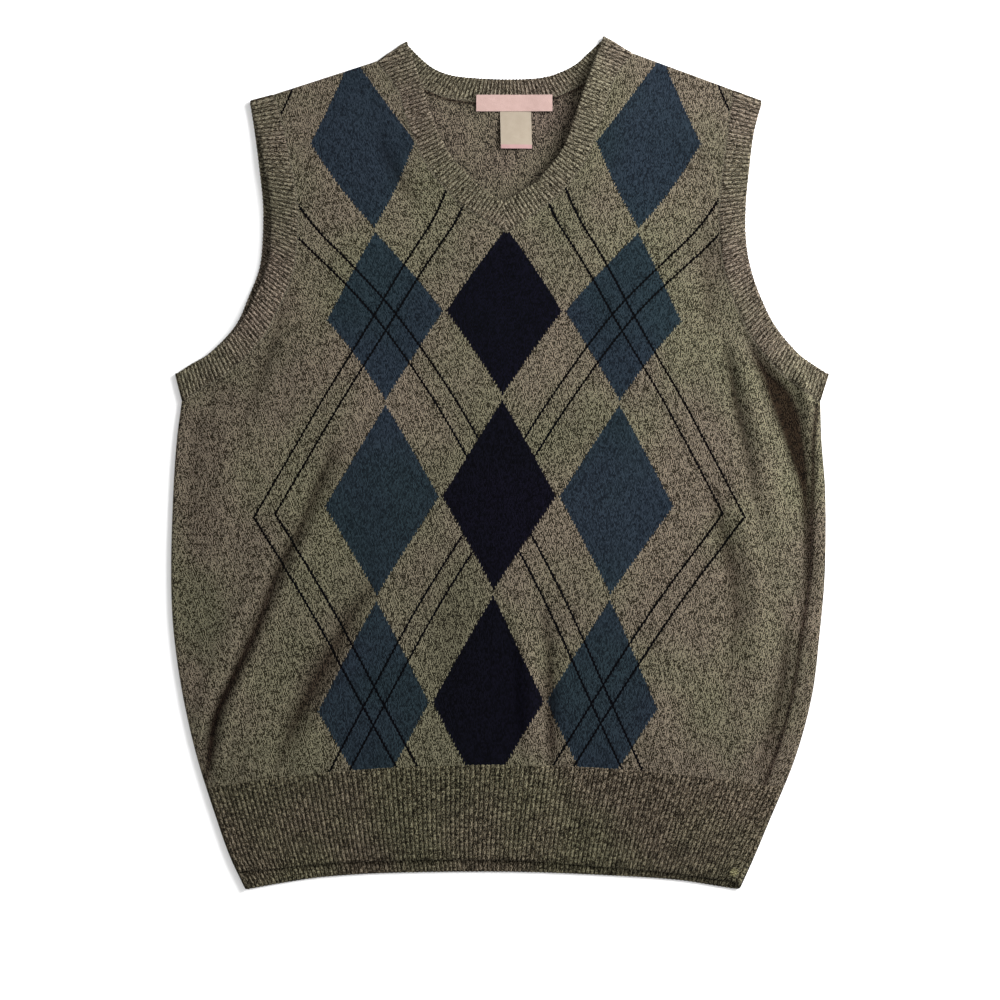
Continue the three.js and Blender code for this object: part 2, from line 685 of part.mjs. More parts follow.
function hemRibFront() {
  const top = frontFullRows()[0].map((p) => ({ x: p.x, y: p.y - GAP }));
  const last = top.length - 1;
  const bottom = top.map((_, i) => {
    const across = i / last;
    const y = hemEdgeY('front', across);
    const x = mix(sideSeam('left', y).x + GAP, sideSeam('right', y).x - GAP, across);
    return { x, y };
  });
  const rails = [bottom, top].map((rail) => rail.map(frontPoint));
  const ribs = ribStations(rails[0], 0, last, HEM_RIB_PITCH);
  return stripWall(rails, ribs, plainStations(0, last), WALL);
}

function hemRibBack() {
  const top = backHemRow().map((p) => backPoint({ x: p.x, y: p.y - GAP }));
  const lower = ['back', 'front'].map((layer) => top.map((_, i) => {
    const across = i / BACK_COLUMNS;
    const y = hemEdgeY(layer, across);
    return backPoint({ x: mix(flatEndX('left', y), flatEndX('right', y), across), y });
  }));
  const rails = [...lower, top].map((flat) => [
    ...roundSide(flat[0], 'left').reverse(),
    ...flat,
    ...roundSide(flat[BACK_COLUMNS], 'right'),
  ]);
  const firstFlat = FOLD_STEPS + LAP_STEPS.left;
  const lastFlat = firstFlat + BACK_COLUMNS;
  const last = rails[0].length - 1;
  const ribs = ribStations(rails[1], firstFlat, lastFlat, HEM_RIB_PITCH)
    .slice(HEM_PLAIN_STATIONS, -HEM_PLAIN_STATIONS);
  const upper = [...plainStations(0, firstFlat), ...ribs, ...plainStations(lastFlat, last)];
  const lapRibs = ribStations(rails[1], last - LAP_STEPS.right, last, HEM_RIB_PITCH);
  const under = [...plainStations(0, last - LAP_STEPS.right - 1), ...lapRibs];
  return stripWall(rails, upper, under, WALL);
}

// The neck label lies over the back neck seam, with its right end a little raised.
function neckLabel() {
  const restUp = WALL + RIB_DEPTH + GAP + LABEL.wall / 2;
  const restDown = WALL + GAP + LABEL.wall / 2;
  const liftAt = (share) => LABEL_LIFT.height
    * ease((share - LABEL_LIFT.from) / (1 - LABEL_LIFT.from));
  const rail = (y, z) => LABEL_SHARES.map((share) => new THREE.Vector3(
    mix(LABEL.left, LABEL.right, share), y, z + liftAt(share)));
  const rails = [rail(LABEL.bottom, restDown), rail(LABEL.top, restUp)];
  const stations = plainStations(0, LABEL_SHARES.length - 1);
  return stripWall(rails, stations, stations, LABEL.wall);
}

function careTab() {
  const rest = WALL + GAP + TAB.wall / 2;
  const rail = (y, shift) => [0, 1].map((share) => new THREE.Vector3(
    mix(TAB.left, TAB.right, share) + shift, y, rest));
  const rails = [rail(TAB.bottom, TAB.lean), rail(TAB.top, 0)];
  return stripWall(rails, plainStations(0, 1), plainStations(0, 1), TAB.wall);
}

const PIECES = {
  front_panel: { make: frontPanel, material: MARL },
  back_panel: { make: backPanel, material: MARL_BACK },
  neckband_front_left: { make: () => neckbandFront('left'), material: RIB },
  neckband_front_right: { make: () => neckbandFront('right'), material: RIB },
  neckband_back: { make: neckbandBack, material: RIB },
  armband_left_front: { make: () => armbandFront('left'), material: RIB },
  armband_left_back: { make: () => armbandBack('left'), material: RIB },
  armband_right_front: { make: () => armbandFront('right'), material: RIB },
  armband_right_back: { make: () => armbandBack('right'), material: RIB },
  hem_rib_front: { make: hemRibFront, material: RIB },
  hem_rib_back: { make: hemRibBack, material: RIB },
  neck_label: { make: neckLabel, material: PINK_SATIN },
  care_tab: { make: careTab, material: CREAM_TAPE },
};

const vest = new THREE.Group();
vest.name = 'knitted_sweater_vest';
for (const [name, { make, material }] of Object.entries(PIECES)) {
  const mesh = new THREE.Mesh(toGeometry(make()), new THREE.MeshStandardMaterial(material));
  mesh.name = name;
  vest.add(mesh);
}

export default vest;
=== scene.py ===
# %% [markdown]
# # A knitted sweater vest, laid flat
# The vest is a man's sleeveless V-neck in fine marl knit, with argyle diamonds on its front and
# ribbed bands round the neck, the armholes and the hem. It lies on its back on a pale floor, and
# the camera looks straight down. This lesson cuts each piece from its real sizes, lays one over
# the other, raises the ribs with Geometry Nodes and knits the surface with shader groups.

import bmesh
import bpy
import numpy as np
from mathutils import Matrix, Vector


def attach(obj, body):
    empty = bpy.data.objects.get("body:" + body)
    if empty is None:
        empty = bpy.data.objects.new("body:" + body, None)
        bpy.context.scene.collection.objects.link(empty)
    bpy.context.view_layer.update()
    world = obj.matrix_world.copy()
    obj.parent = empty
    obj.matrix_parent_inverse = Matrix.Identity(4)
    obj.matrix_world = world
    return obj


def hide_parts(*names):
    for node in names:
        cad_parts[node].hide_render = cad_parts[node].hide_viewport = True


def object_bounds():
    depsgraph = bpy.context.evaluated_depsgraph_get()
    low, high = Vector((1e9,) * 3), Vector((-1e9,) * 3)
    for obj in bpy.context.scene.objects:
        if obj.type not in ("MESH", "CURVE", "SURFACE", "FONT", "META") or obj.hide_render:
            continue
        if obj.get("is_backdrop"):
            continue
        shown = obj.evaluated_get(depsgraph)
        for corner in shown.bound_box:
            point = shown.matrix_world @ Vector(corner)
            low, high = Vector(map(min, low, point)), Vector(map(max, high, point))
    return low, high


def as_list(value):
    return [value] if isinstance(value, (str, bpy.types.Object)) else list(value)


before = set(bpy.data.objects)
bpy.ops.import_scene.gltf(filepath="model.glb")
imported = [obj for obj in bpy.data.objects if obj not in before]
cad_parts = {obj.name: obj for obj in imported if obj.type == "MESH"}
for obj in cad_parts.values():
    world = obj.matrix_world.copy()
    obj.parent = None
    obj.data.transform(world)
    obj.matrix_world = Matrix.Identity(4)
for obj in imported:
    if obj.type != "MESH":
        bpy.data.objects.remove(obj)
cad_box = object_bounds()
print("solids in the frame:", len(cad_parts))

# %% [markdown]
# ## Sizes
# A garment maker works in millimetres, so the garment's sizes are in millimetres, and a mesh is
# scaled to Blender's metres only when it is made. The floor, the lamps and the camera are placed
# in metres. +Y points to the neck, +Z up, and left and right are as seen from above. The tables
# hold the outline at a few stations, and smooth curves run between them.

# %% Sizes of the cloth
MM = 0.001
WALL = 2.0
FOLD_RADIUS = 1.6
FOLD_REACH = FOLD_RADIUS + WALL / 2
SEAM_RUN = 0.9
BACK_MID = WALL / 2
FRONT_MID = BACK_MID + 2 * FOLD_RADIUS
print("cloth", WALL, "mm thick, turned round a radius of", FOLD_RADIUS, "mm at its sides")

# %% Outline of the sides, from the underarm to the hem corners
def table(columns, *rows):
    """Rows of numbers under named columns."""
    return [dict(zip(columns.split(), row)) for row in rows]


SIDES = table("y left right",
    (48.6, -254.5, 256.0), (18, -258.5, 256.8), (-22, -261.3, 259.8), (-86, -263.1, 259.5),
    (-132, -261.2, 255.6), (-185, -253.6, 249.0), (-240, -241.0, 234.1), (-292, -224.5, 212.9),
    (-317, -215.3, 202.5), (-340.4, -204.2, 192.2))
RIGHT_ROLL = table("y radius lap",
    (48.6, FOLD_RADIUS, SEAM_RUN), (10, 2.2, 4.5), (-40, 2.6, 7.5), (-86, 2.6, 8.0),
    (-141, 2.6, 11.0), (-250, 2.5, 13), (-340.4, 2.2, 14))
print("side stations:", len(SIDES), "of the outline,", len(RIGHT_ROLL), "of the roll")

# %% Outline of the armholes, the neck and the hem
ARMHOLES = table("y left right",
    (288.8, -199.7, 208.7), (262, -193.3, 202.3), (235, -187.6, 198.7), (206, -183.0, 195.9),
    (178, -182.8, 195.9), (155, -185.8, 199.6), (133, -195.1, 207.0), (109, -207.9, 218.9),
    (88, -229.5, 236.4), (78, -246.5, 249.5), (71, -260.2, 263.1))
ARMHOLE_SEAM_TOP = {"left": (-180.4, 293.9), "right": (185.0, 297.6)}
BACK_ARMHOLE_SHIFT = {"left": 7.0, "right": -5.0}
NECK_EDGES = {
    "left": [(-74.2, 336.6), (-63.4, 303.2), (-57.3, 282.7), (-50.6, 264.8),
             (-40.5, 245.7), (-30.4, 233.4), (-16.9, 219.9), (2.2, 207.2)],
    "right": [(82.0, 340.9), (72.9, 314.2), (65.0, 291.7), (57.2, 268.2),
              (49.4, 249.0), (32.6, 227.8), (18.0, 216.5), (2.2, 207.2)],
}
NECK_SEAM_TOP = {"left": (-97.8, 320.6), "right": (105.0, 327.0)}
V_SEAM_POINT = (5.0, 182.8)
BACK_NECK_EDGE = [(-74.2, 334.0), (-62.9, 322.6), (-50.6, 313.6), (-32.0, 308.4), (5.4, 306.3),
                  (36.0, 308.2), (58.0, 316.8), (71.0, 327.8), (82.0, 338.3)]
BACK_NECK_SEAM = [(-97.8, 318.0), (-79.0, 307.5), (-59.0, 298.2), (-37.0, 290.8), (5.0, 287.8),
                  (42.0, 292.2), (64.0, 301.8), (85.0, 313.5), (105.0, 324.4)]
HEM_EDGES = table("x front back",
    (-208, -326.0, -340.4), (-184, -324.2, -336.4), (-144, -320.2, -330.8), (-88, -317.4, -327.4),
    (15, -316.8, -326.6), (112, -323.8, -330.6), (150, -327.0, -333.6), (180, -331.0, -338.0),
    (196, -333.0, -340.4))
print("armhole stations:", len(ARMHOLES), "and hem stations:", len(HEM_EDGES))

# %% [markdown]
# ## Folds
# Knitted cloth that is laid down by hand keeps soft folds: a long crease runs down the left
# side, a deep one runs from the right underarm down beside the side seam, and the neckband
# stands a little off the back. Each fold is a short list of places from one end to the other:
# x, y, half its width, and how far the cloth sinks (negative) or stands up there. Valleys come
# to a line, ridges stay round.

# %% The folds of the front and of the back
FRONT_FOLDS = {
    "long left crease": [
        (-128, 20, 11, 0), (-137, 0, 14, -2.6), (-158, -50, 14, -3.0), (-178, -90, 13, -3.5),
        (-193, -130, 12, -4.0), (-214, -175, 10, -4.8), (-227, -204, 9, -5.0),
        (-232, -234, 8, -4.6), (-236, -262, 6, -2.0)],
    "ridge above the long crease": [
        (-150, -8, 14, 0), (-178, -56, 16, 1.3), (-206, -118, 15, 1.8), (-232, -176, 12, 2.2),
        (-241, -208, 8, 1.8), (-242, -236, 6, 0.6)],
    "ridge below the long crease": [
        (-124, -16, 12, 0), (-154, -64, 12, 1.8), (-184, -124, 12, 2.8), (-210, -184, 11, 3.6),
        (-221, -222, 10, 3.2), (-226, -250, 9, 1.6), (-228, -268, 8, 0)],
    "second left crease": [
        (-92, -84, 11, 0), (-113, -112, 17, -2.4), (-138, -158, 20, -3.4), (-150, -180, 20, -3.6),
        (-164, -208, 18, -3.2), (-176, -240, 14, -1.4), (-182, -256, 10, 0)],
    "ridge by the second crease": [
        (-92, -122, 12, 0), (-116, -152, 13, 2.0), (-138, -190, 13, 2.6), (-154, -222, 12, 1.6),
        (-164, -246, 10, 0)],
    "right underarm valley": [
        (197, 98, 8, -0.8), (207, 78, 11, -4.0), (220, 57, 17, -5.4), (228, 38, 16, -5.8),
        (234, 18, 14, -5.6), (239, -2, 12, -5.0), (243, -22, 10, -4.4), (245, -50, 9, -3.6),
        (245, -78, 9, -3.0), (243, -122, 8, -1.8), (238, -160, 7, 0)],
    "right underarm hollow": [
        (212, 66, 8, 0), (223, 53, 14, -4.0), (231, 36, 15, -4.6), (236, 16, 12, -4.0),
        (241, -6, 9, -2.0), (244, -26, 7, 0)],
    "ridge outside the valley": [
        (226, 92, 7, 0), (239, 68, 8, 3.0), (247, 44, 8, 5.0), (250, 20, 7, 5.0),
        (252, -8, 5, 3.0), (252, -38, 4, 0)],
    "right chest crease": [
        (177, 106, 8, 0), (183, 76, 9, -2.6), (188, 48, 10, -3.3), (195, 16, 10, -2.6),
        (201, -14, 9, -1.6), (205, -46, 8, 0)],
    "ridge between the right creases": [
        (188, 98, 9, 0), (196, 66, 9, 2.2), (206, 28, 11, 2.6), (214, -14, 14, 2.0),
        (220, -60, 15, 1.6), (220, -110, 14, 0)],
    "right waist ridge": [
        (184, -10, 11, 0), (196, -54, 13, 2.2), (206, -104, 13, 2.8), (206, -152, 13, 2.2),
        (198, -200, 12, 0.8), (190, -232, 11, 0)],
    "right waist valley": [
        (164, -6, 12, 0), (176, -52, 15, -2.4), (187, -104, 15, -2.4), (186, -152, 14, -1.4),
        (178, -196, 12, 0)],
    "lower right valley": [
        (228, -110, 9, 0), (228, -156, 12, -2.6), (220, -204, 13, -2.8), (208, -242, 12, -1.6),
        (200, -262, 10, 0)],
    "valley beside the middle": [
        (32, -100, 8, 0), (38, -140, 11, -2.4), (40, -190, 12, -3.2), (41, -228, 11, -2.6),
        (42, -258, 9, 0)],
    "ridge beside the middle": [
        (14, -112, 10, 0), (20, -150, 12, 3.2), (23, -200, 12, 3.8), (24, -236, 10, 1.4),
        (24, -250, 9, 0)],
    "hem ripple": [
        (120, -190, 16, 0), (128, -226, 18, 2.0), (132, -262, 14, 0.6), (133, -280, 12, 0)],
    "right neck edge": [
        (16, 214, 14, 0.6), (36, 236, 18, 2.0), (55, 266, 22, 4.2), (68, 298, 22, 5.6),
        (78, 320, 20, 4.6)],
    "left neck edge": [
        (-14, 220, 14, 0.3), (-38, 246, 18, 1.0), (-56, 284, 18, 1.4), (-66, 314, 16, 0.8)],
    "crease at the left of the neck": [
        (-58, 200, 10, 0), (-76, 218, 13, -1.8), (-92, 246, 13, -1.4), (-100, 272, 10, 0)],
    "left armhole crease": [
        (-172, 150, 10, 0), (-176, 110, 13, -1.8), (-190, 72, 13, -2.0), (-204, 34, 12, -1.0),
        (-212, 8, 10, 0)],
    "right shoulder ridge": [
        (186, 226, 10, 0), (184, 180, 12, 1.8), (182, 136, 12, 1.6), (184, 104, 10, 0)],
    "right shoulder valley": [
        (160, 214, 12, 0), (164, 168, 14, -1.6), (166, 124, 13, -1.4), (168, 92, 10, 0)],
    "chest swell left": [
        (-120, 190, 50, 0), (-126, 110, 60, 1.8), (-112, 30, 55, 1.5), (-96, -60, 50, 0)],
    "chest swell right": [
        (96, 180, 50, 0), (110, 100, 60, 2.0), (96, 10, 60, 1.6), (84, -80, 50, 0)],
    "waist hollow": [
        (-60, -60, 40, 0), (-40, -130, 44, -1.2), (-56, -200, 40, 0)],
    "lower right swell": [
        (110, -120, 40, 0), (124, -170, 44, 1.6), (120, -226, 36, 0)],
    "left side ripple": [
        (-238, 46, 14, 0), (-244, 4, 16, -1.0), (-246, -40, 14, -0.9), (-248, -90, 12, 0)],
    "left chest ripple": [
        (-206, 76, 16, 0), (-210, 30, 18, 1.1), (-222, -30, 18, 0.9), (-232, -84, 14, 0)],
}
BACK_FOLDS = {
    "across the shoulder blades": [
        (-120, 150, 26, 0), (-40, 176, 30, 0.8), (60, 168, 28, 0.7), (130, 140, 24, 0)],
    "small of the back": [
        (-90, 40, 24, 0), (-20, 10, 30, 0.9), (70, 24, 26, 0.7), (120, 60, 22, 0)],
    "slant to the hem": [(60, -40, 22, 0), (20, -100, 26, 0.8), (-40, -150, 22, 0)],
    "below the neck, left": [(-44, 268, 12, 0), (-22, 250, 12, 0.6), (10, 236, 12, 0)],
    "below the neck, right": [(44, 262, 10, 0), (30, 246, 11, 0.6), (14, 228, 10, 0)],
}
print("folds:", len(FRONT_FOLDS), "on the front,", len(BACK_FOLDS), "on the back")

# %% [markdown]
# ## Curves
# Two small helpers turn the tables into smooth lines: one reads a column of a table at any
# place, and one runs an even spline through points. Both are plain cubic curves, so a few
# stations are enough for a whole outline.

# %% Smooth reading of tables and lines
LINE_STEPS = 24


def read_table(rows, key, column, at):
    """The value of one column at any place, on a smooth curve through the table's rows."""
    rows = sorted(rows, key=lambda row: row[key])
    place = np.array([row[key] for row in rows], float)
    value = np.array([row[column] for row in rows], float)
    slope = np.empty_like(value)
    slope[1:-1] = (value[2:] - value[:-2]) / (place[2:] - place[:-2])
    slope[0] = (value[1] - value[0]) / (place[1] - place[0])
    slope[-1] = (value[-1] - value[-2]) / (place[-1] - place[-2])
    at = np.clip(np.asarray(at, float), place[0], place[-1])
    i = np.clip(np.searchsorted(place, at, side="right") - 1, 0, len(place) - 2)
    span = place[i + 1] - place[i]
    t = (at - place[i]) / span
    first = 2 * t**3 - 3 * t**2 + 1
    start_bend = (t**3 - 2 * t**2 + t) * span
    end_bend = (t**3 - t**2) * span
    return (first * value[i] + (1 - first) * value[i + 1]
            + start_bend * slope[i] + end_bend * slope[i + 1])


def run_along(points):
    """How far along its line each point lies."""
    steps = np.linalg.norm(np.diff(points, axis=0), axis=1)
    return np.concatenate([[0], np.cumsum(steps)])


def even_line(points, count):
    """A smooth line through the points, cut into equal steps."""
    points = np.array(points, float)
    padded = np.vstack([points[:1], points, points[-1:]])
    t = np.linspace(0, 1, LINE_STEPS, endpoint=False)[:, None]
    stretches = []
    for a, b, c, d in zip(padded, padded[1:], padded[2:], padded[3:]):
        bend = (c - a) * 0.5, (d - b) * 0.5
        stretches.append((2 * t**3 - 3 * t**2 + 1) * b + (t**3 - 2 * t**2 + t) * bend[0]
                         + (3 * t**2 - 2 * t**3) * c + (t**3 - t**2) * bend[1])
    dense = np.vstack([*stretches, points[-1:]])
    run = run_along(dense)
    wanted = np.linspace(0, run[-1], count + 1)
    return np.stack([np.interp(wanted, run, dense[:, k]) for k in range(points.shape[1])], axis=1)


def offset_line(points, width):
    """The line moved sideways, to its left for a positive width."""
    points = np.array(points, float)
    along = np.empty_like(points)
    along[1:-1] = points[2:] - points[:-2]
    along[0] = points[1] - points[0]
    along[-1] = points[-1] - points[-2]
    along /= np.linalg.norm(along, axis=1, keepdims=True)
    return points + np.stack([-along[:, 1], along[:, 0]], axis=1) * width


def ease(value):
    t = np.clip(value, 0, 1)
    return t * t * (3 - 2 * t)


def mix(a, b, share):
    return a + (b - a) * share


SIGN = {"left": -1.0, "right": 1.0}
print("chest:", round(float(read_table(SIDES, "y", "right", 20)
                            - read_table(SIDES, "y", "left", 20))), "mm")

# %% [markdown]
# ## Seams and edges
# The panels and the bands share their seam lines, so each seam is worked out once. The back
# rolls round the right side, more and more towards the hem, which puts that side seam inside
# the outline.

# %% Where the seams run
ARMBAND_WIDTH = 21.0
NECKBAND_WIDTH = 20.0
UNDERARM_Y = 48.6
SEAM_DIP = 1.6
FULL_LAP = 12.0
HEM_SEAM_MIDDLE_Y = -242.0
HEM_SEAM_END_Y = -260.0
HEM_SEAM_HALF_WIDTH = 232.0


def roll(side, y):
    """The radius of a side's turn, and how far the back laps over the front there."""
    if side == "left":
        return FOLD_RADIUS + 0 * np.asarray(y, float), SEAM_RUN + 0 * np.asarray(y, float)
    radius = read_table(RIGHT_ROLL, "y", "radius", y)
    return radius, np.maximum(SEAM_RUN, read_table(RIGHT_ROLL, "y", "lap", y))


def flat_end_x(side, y):
    """Where the flat part of the back ends, and its turn round the side starts."""
    return read_table(SIDES, "y", side, y) - SIGN[side] * (roll(side, y)[0] + WALL / 2)


def side_seam(side, y):
    """Where a side seam lies: how far across, and how high."""
    radius, lap = roll(side, y)
    height = BACK_MID + 2 * radius - SEAM_DIP * np.clip((lap - SEAM_RUN) / FULL_LAP, 0, 1)
    return flat_end_x(side, y) - SIGN[side] * lap, height


def hem_seam_y(x):
    """The hem seam, which hangs lower towards the sides."""
    return mix(HEM_SEAM_MIDDLE_Y, HEM_SEAM_END_Y, (np.asarray(x) / HEM_SEAM_HALF_WIDTH) ** 2)


def armhole_lines(side, layer, count):
    """The open edge and the seam of one armband, from the shoulder to the underarm."""
    sign = SIGN[side]
    y = np.array([row["y"] for row in ARMHOLES], float)
    shift = BACK_ARMHOLE_SHIFT[side] if layer == "back" else 0.0
    swell = np.sin(np.pi * (y - y[-1]) / (y[0] - y[-1]))
    edge = np.stack([[row[side] for row in ARMHOLES] + sign * shift * swell, y], axis=1)
    seam = offset_line(edge, -sign * ARMBAND_WIDTH)
    edge[0, 1] -= FOLD_REACH
    seam[0] = ARMHOLE_SEAM_TOP[side][0], ARMHOLE_SEAM_TOP[side][1] - FOLD_REACH
    edge[-1, 0] -= sign * FOLD_REACH
    seam[-1] = flat_end_x(side, UNDERARM_Y), UNDERARM_Y
    return even_line(edge, count), even_line(seam, count)


def neck_lines(side, count):
    """The open edge and the seam of the neckband's front, from the shoulder to the V."""
    edge = np.array(NECK_EDGES[side], float)
    seam = offset_line(edge, SIGN[side] * NECKBAND_WIDTH)
    edge[0, 1] -= FOLD_REACH
    seam[0] = NECK_SEAM_TOP[side][0], NECK_SEAM_TOP[side][1] - FOLD_REACH
    seam[-1] = V_SEAM_POINT
    return even_line(edge, count), even_line(seam, count)


for side in ("left", "right"):
    armhole, neck = armhole_lines(side, "front", 100)[1], neck_lines(side, 100)[1]
    print(side, "armhole seam", round(run_along(armhole)[-1]), "mm, neck seam",
          round(run_along(neck)[-1]), "mm")

# %% [markdown]
# ## How the front lies
# The front is one height above the floor for each place on it. It meets the back's height at
# the sides and the shoulders, puffs up a little between them, and carries the folds. A formula
# gives smooth cloth that can be read at any fineness, and the bands use the same one, so they
# stay level with the panel along their seams. The two layers meet at the shoulders, the sides
# and the hem, so the front's loft and its folds fade out there, each over a reach of its own.

# %% Height of the front
LOFT = 4.2
LOFT_REACH = {"side": 42.0, "shoulder": 60.0, "hem": 110.0}
FREE_REACH = {"side": 7.0, "shoulder": 25.0, "hem": 60.0}
LOFT_FROM_Y = -335.0
RIGHT_SIDE_FROM_X = 60.0
FRONT_LOWEST = 3.4
VALLEY_POWER = 1.6
# The next four numbers set the painted shade in the creases and along the right side seam.
DEEPEST_CREASE = 5.0
CREASE_POWER = 0.75
GROOVE_WIDTH = 3.2
GROOVE_SHADE = 0.75


def shoulder_y(x):
    """How far up the shoulder's fold lies, on a straight line for each shoulder."""
    x = np.asarray(x, float)
    heights = {}
    for side in ("left", "right"):
        tip, neck = ARMHOLE_SEAM_TOP[side], NECK_SEAM_TOP[side]
        heights[side] = mix(tip[1], neck[1], (x - tip[0]) / (neck[0] - tip[0])) - FOLD_REACH
    return np.where(x < V_SEAM_POINT[0], heights["left"], heights["right"])


def fold_lift(places, x, y):
    """How far one fold lifts or sinks the cloth, from the nearest place on its line."""
    line = even_line(places, LINE_STEPS)
    reach = line[:, 2].max()
    lift = np.zeros(x.shape)
    near = ((x > line[:, 0].min() - reach) & (x < line[:, 0].max() + reach)
            & (y > line[:, 1].min() - reach) & (y < line[:, 1].max() + reach))
    at_x, at_y = x[near], y[near]
    closest = np.full(at_x.shape, np.inf)
    found = np.zeros(at_x.shape)
    for start, end in zip(line, line[1:]):
        step = end - start
        share = ((at_x - start[0]) * step[0] + (at_y - start[1]) * step[1]) / (step[:2] @ step[:2])
        share = np.clip(share, 0, 1)
        gone = np.hypot(at_x - start[0] - share * step[0], at_y - start[1] - share * step[1])
        width, height = start[2] + share * step[2], start[3] + share * step[3]
        inward = 1 - np.clip(gone / width, 0, 1)
        profile = np.where(height < 0, inward**VALLEY_POWER, ease(inward))
        found = np.where(gone < closest, height * profile, found)
        closest = np.minimum(gone, closest)
    lift[near] = found
    return lift


def crease_shade_share(x, y):
    """How much painted shade a place gets in the creases and along the right side seam, from 0 for
    open cloth to 1 for the deepest.
    """
    valleys = sum(np.maximum(0, -fold_lift(fold, x, y)) for fold in FRONT_FOLDS.values())
    seam_x = side_seam("right", np.minimum(y, UNDERARM_Y))[0]
    painted_groove_shade = GROOVE_SHADE * np.exp(-((x - seam_x) / GROOVE_WIDTH) ** 2)
    depth = np.clip(valleys / DEEPEST_CREASE, 0, 1) ** CREASE_POWER
    return np.maximum(depth, np.where(y < UNDERARM_Y, painted_groove_shade, 0))


def back_height(x, y):
    """The middle of the back's cloth, which only its folds lift off the floor."""
    x, y = np.asarray(x, float), np.asarray(y, float)
    return BACK_MID + np.maximum(0, sum(fold_lift(fold, x, y) for fold in BACK_FOLDS.values()))


def front_height(x, y):
    """The middle of the front's cloth, with its loft and its folds."""
    x, y = np.asarray(x, float), np.asarray(y, float)
    side_y = np.minimum(y, UNDERARM_Y)
    left_x = side_seam("left", side_y)[0]
    right_x, right_z = side_seam("right", side_y)
    edge = mix(FRONT_MID, right_z, ease((x - RIGHT_SIDE_FROM_X) / (right_x - RIGHT_SIDE_FROM_X)))
    away = {"side": np.minimum(x - left_x, right_x - x), "shoulder": shoulder_y(x) - y,
            "hem": y - LOFT_FROM_Y}
    loft, free = LOFT, 1.0
    for border, distance in away.items():
        loft = loft * ease(distance / LOFT_REACH[border])
        free = free * ease(distance / FREE_REACH[border])
    folds = sum(fold_lift(fold, x, y) for fold in FRONT_FOLDS.values())
    return np.maximum(FRONT_LOWEST, edge + loft + folds * free)


print("height at the middle:", round(float(front_height(np.array([0.0]), np.array([0.0]))[0]), 2))

# %% [markdown]
# ## From grids to meshes
# Every piece starts as a grid of points in rows. This helper makes the faces, and can join
# several grids that share an edge. It also stores the knit's own coordinates, wales across and
# courses up, as a UV map, so that the stitches follow the cloth and not the room.

# %% Mesh helpers
MERGE_DISTANCE = 0.02
EDGE_DISTANCE = 0.001


def grid_faces(rows, columns, first=0):
    """The four corners of each face of a grid whose points start at the number first."""
    lower = first + np.arange(rows - 1)[:, None] * columns + np.arange(columns - 1)[None, :]
    upper = lower + columns
    return np.stack([lower, lower + 1, upper + 1, upper], axis=-1).reshape(-1, 4)


def new_mesh_object(name, points, faces, stitches, attributes=None):
    """An object from points in millimetres, with the knit's coordinates as its UV map."""
    mesh = bpy.data.meshes.new(name)
    mesh.from_pydata((np.asarray(points) * MM).tolist(), [], [list(map(int, f)) for f in faces])
    uv = mesh.uv_layers.new(name="stitches")
    corners = np.empty(len(mesh.loops), int)
    mesh.loops.foreach_get("vertex_index", corners)
    uv.data.foreach_set("uv", np.asarray(stitches, float)[corners].ravel())
    for label, values in (attributes or {}).items():
        layer = mesh.attributes.new(label, "FLOAT", "POINT")
        layer.data.foreach_set("value", np.asarray(values, float).ravel())
    obj = bpy.data.objects.new(name, mesh)
    bpy.context.collection.objects.link(obj)
    return obj


def merge_close(obj):
    bm = bmesh.new()
    bm.from_mesh(obj.data)
    bmesh.ops.remove_doubles(bm, verts=bm.verts, dist=MERGE_DISTANCE * MM)
    bmesh.ops.dissolve_degenerate(bm, edges=bm.edges, dist=EDGE_DISTANCE * MM)
    bm.to_mesh(obj.data)
    bm.free()


def apply_modifiers(obj):
    """Puts the finished mesh in place of the plain one, with no modifier left."""
    depsgraph = bpy.context.evaluated_depsgraph_get()
    finished = bpy.data.meshes.new_from_object(obj.evaluated_get(depsgraph))
    obj.modifiers.clear()
    old = obj.data
    obj.data = finished
    bpy.data.meshes.remove(old)
    finished.name = obj.name


def shade_smooth(obj, angle=60):
    obj.data.polygons.foreach_set("use_smooth", np.ones(len(obj.data.polygons), bool))
    obj.data.set_sharp_from_angle(angle=np.radians(angle))


def count_triangles(obj):
    obj.data.calc_loop_triangles()
    return len(obj.data.loop_triangles)


print("faces in a grid of 3 rows and 3 columns:", len(grid_faces(3, 3)))

# %% [markdown]
# ## Shader groups
# The knit is finer than a mesh can carry, so shader groups knit it. One group finds the stitch
# under each point and how high its yarn stands. One twists a light and a dark ply into marl
# yarn. One reads the argyle chart. Each material sets its own values on them.

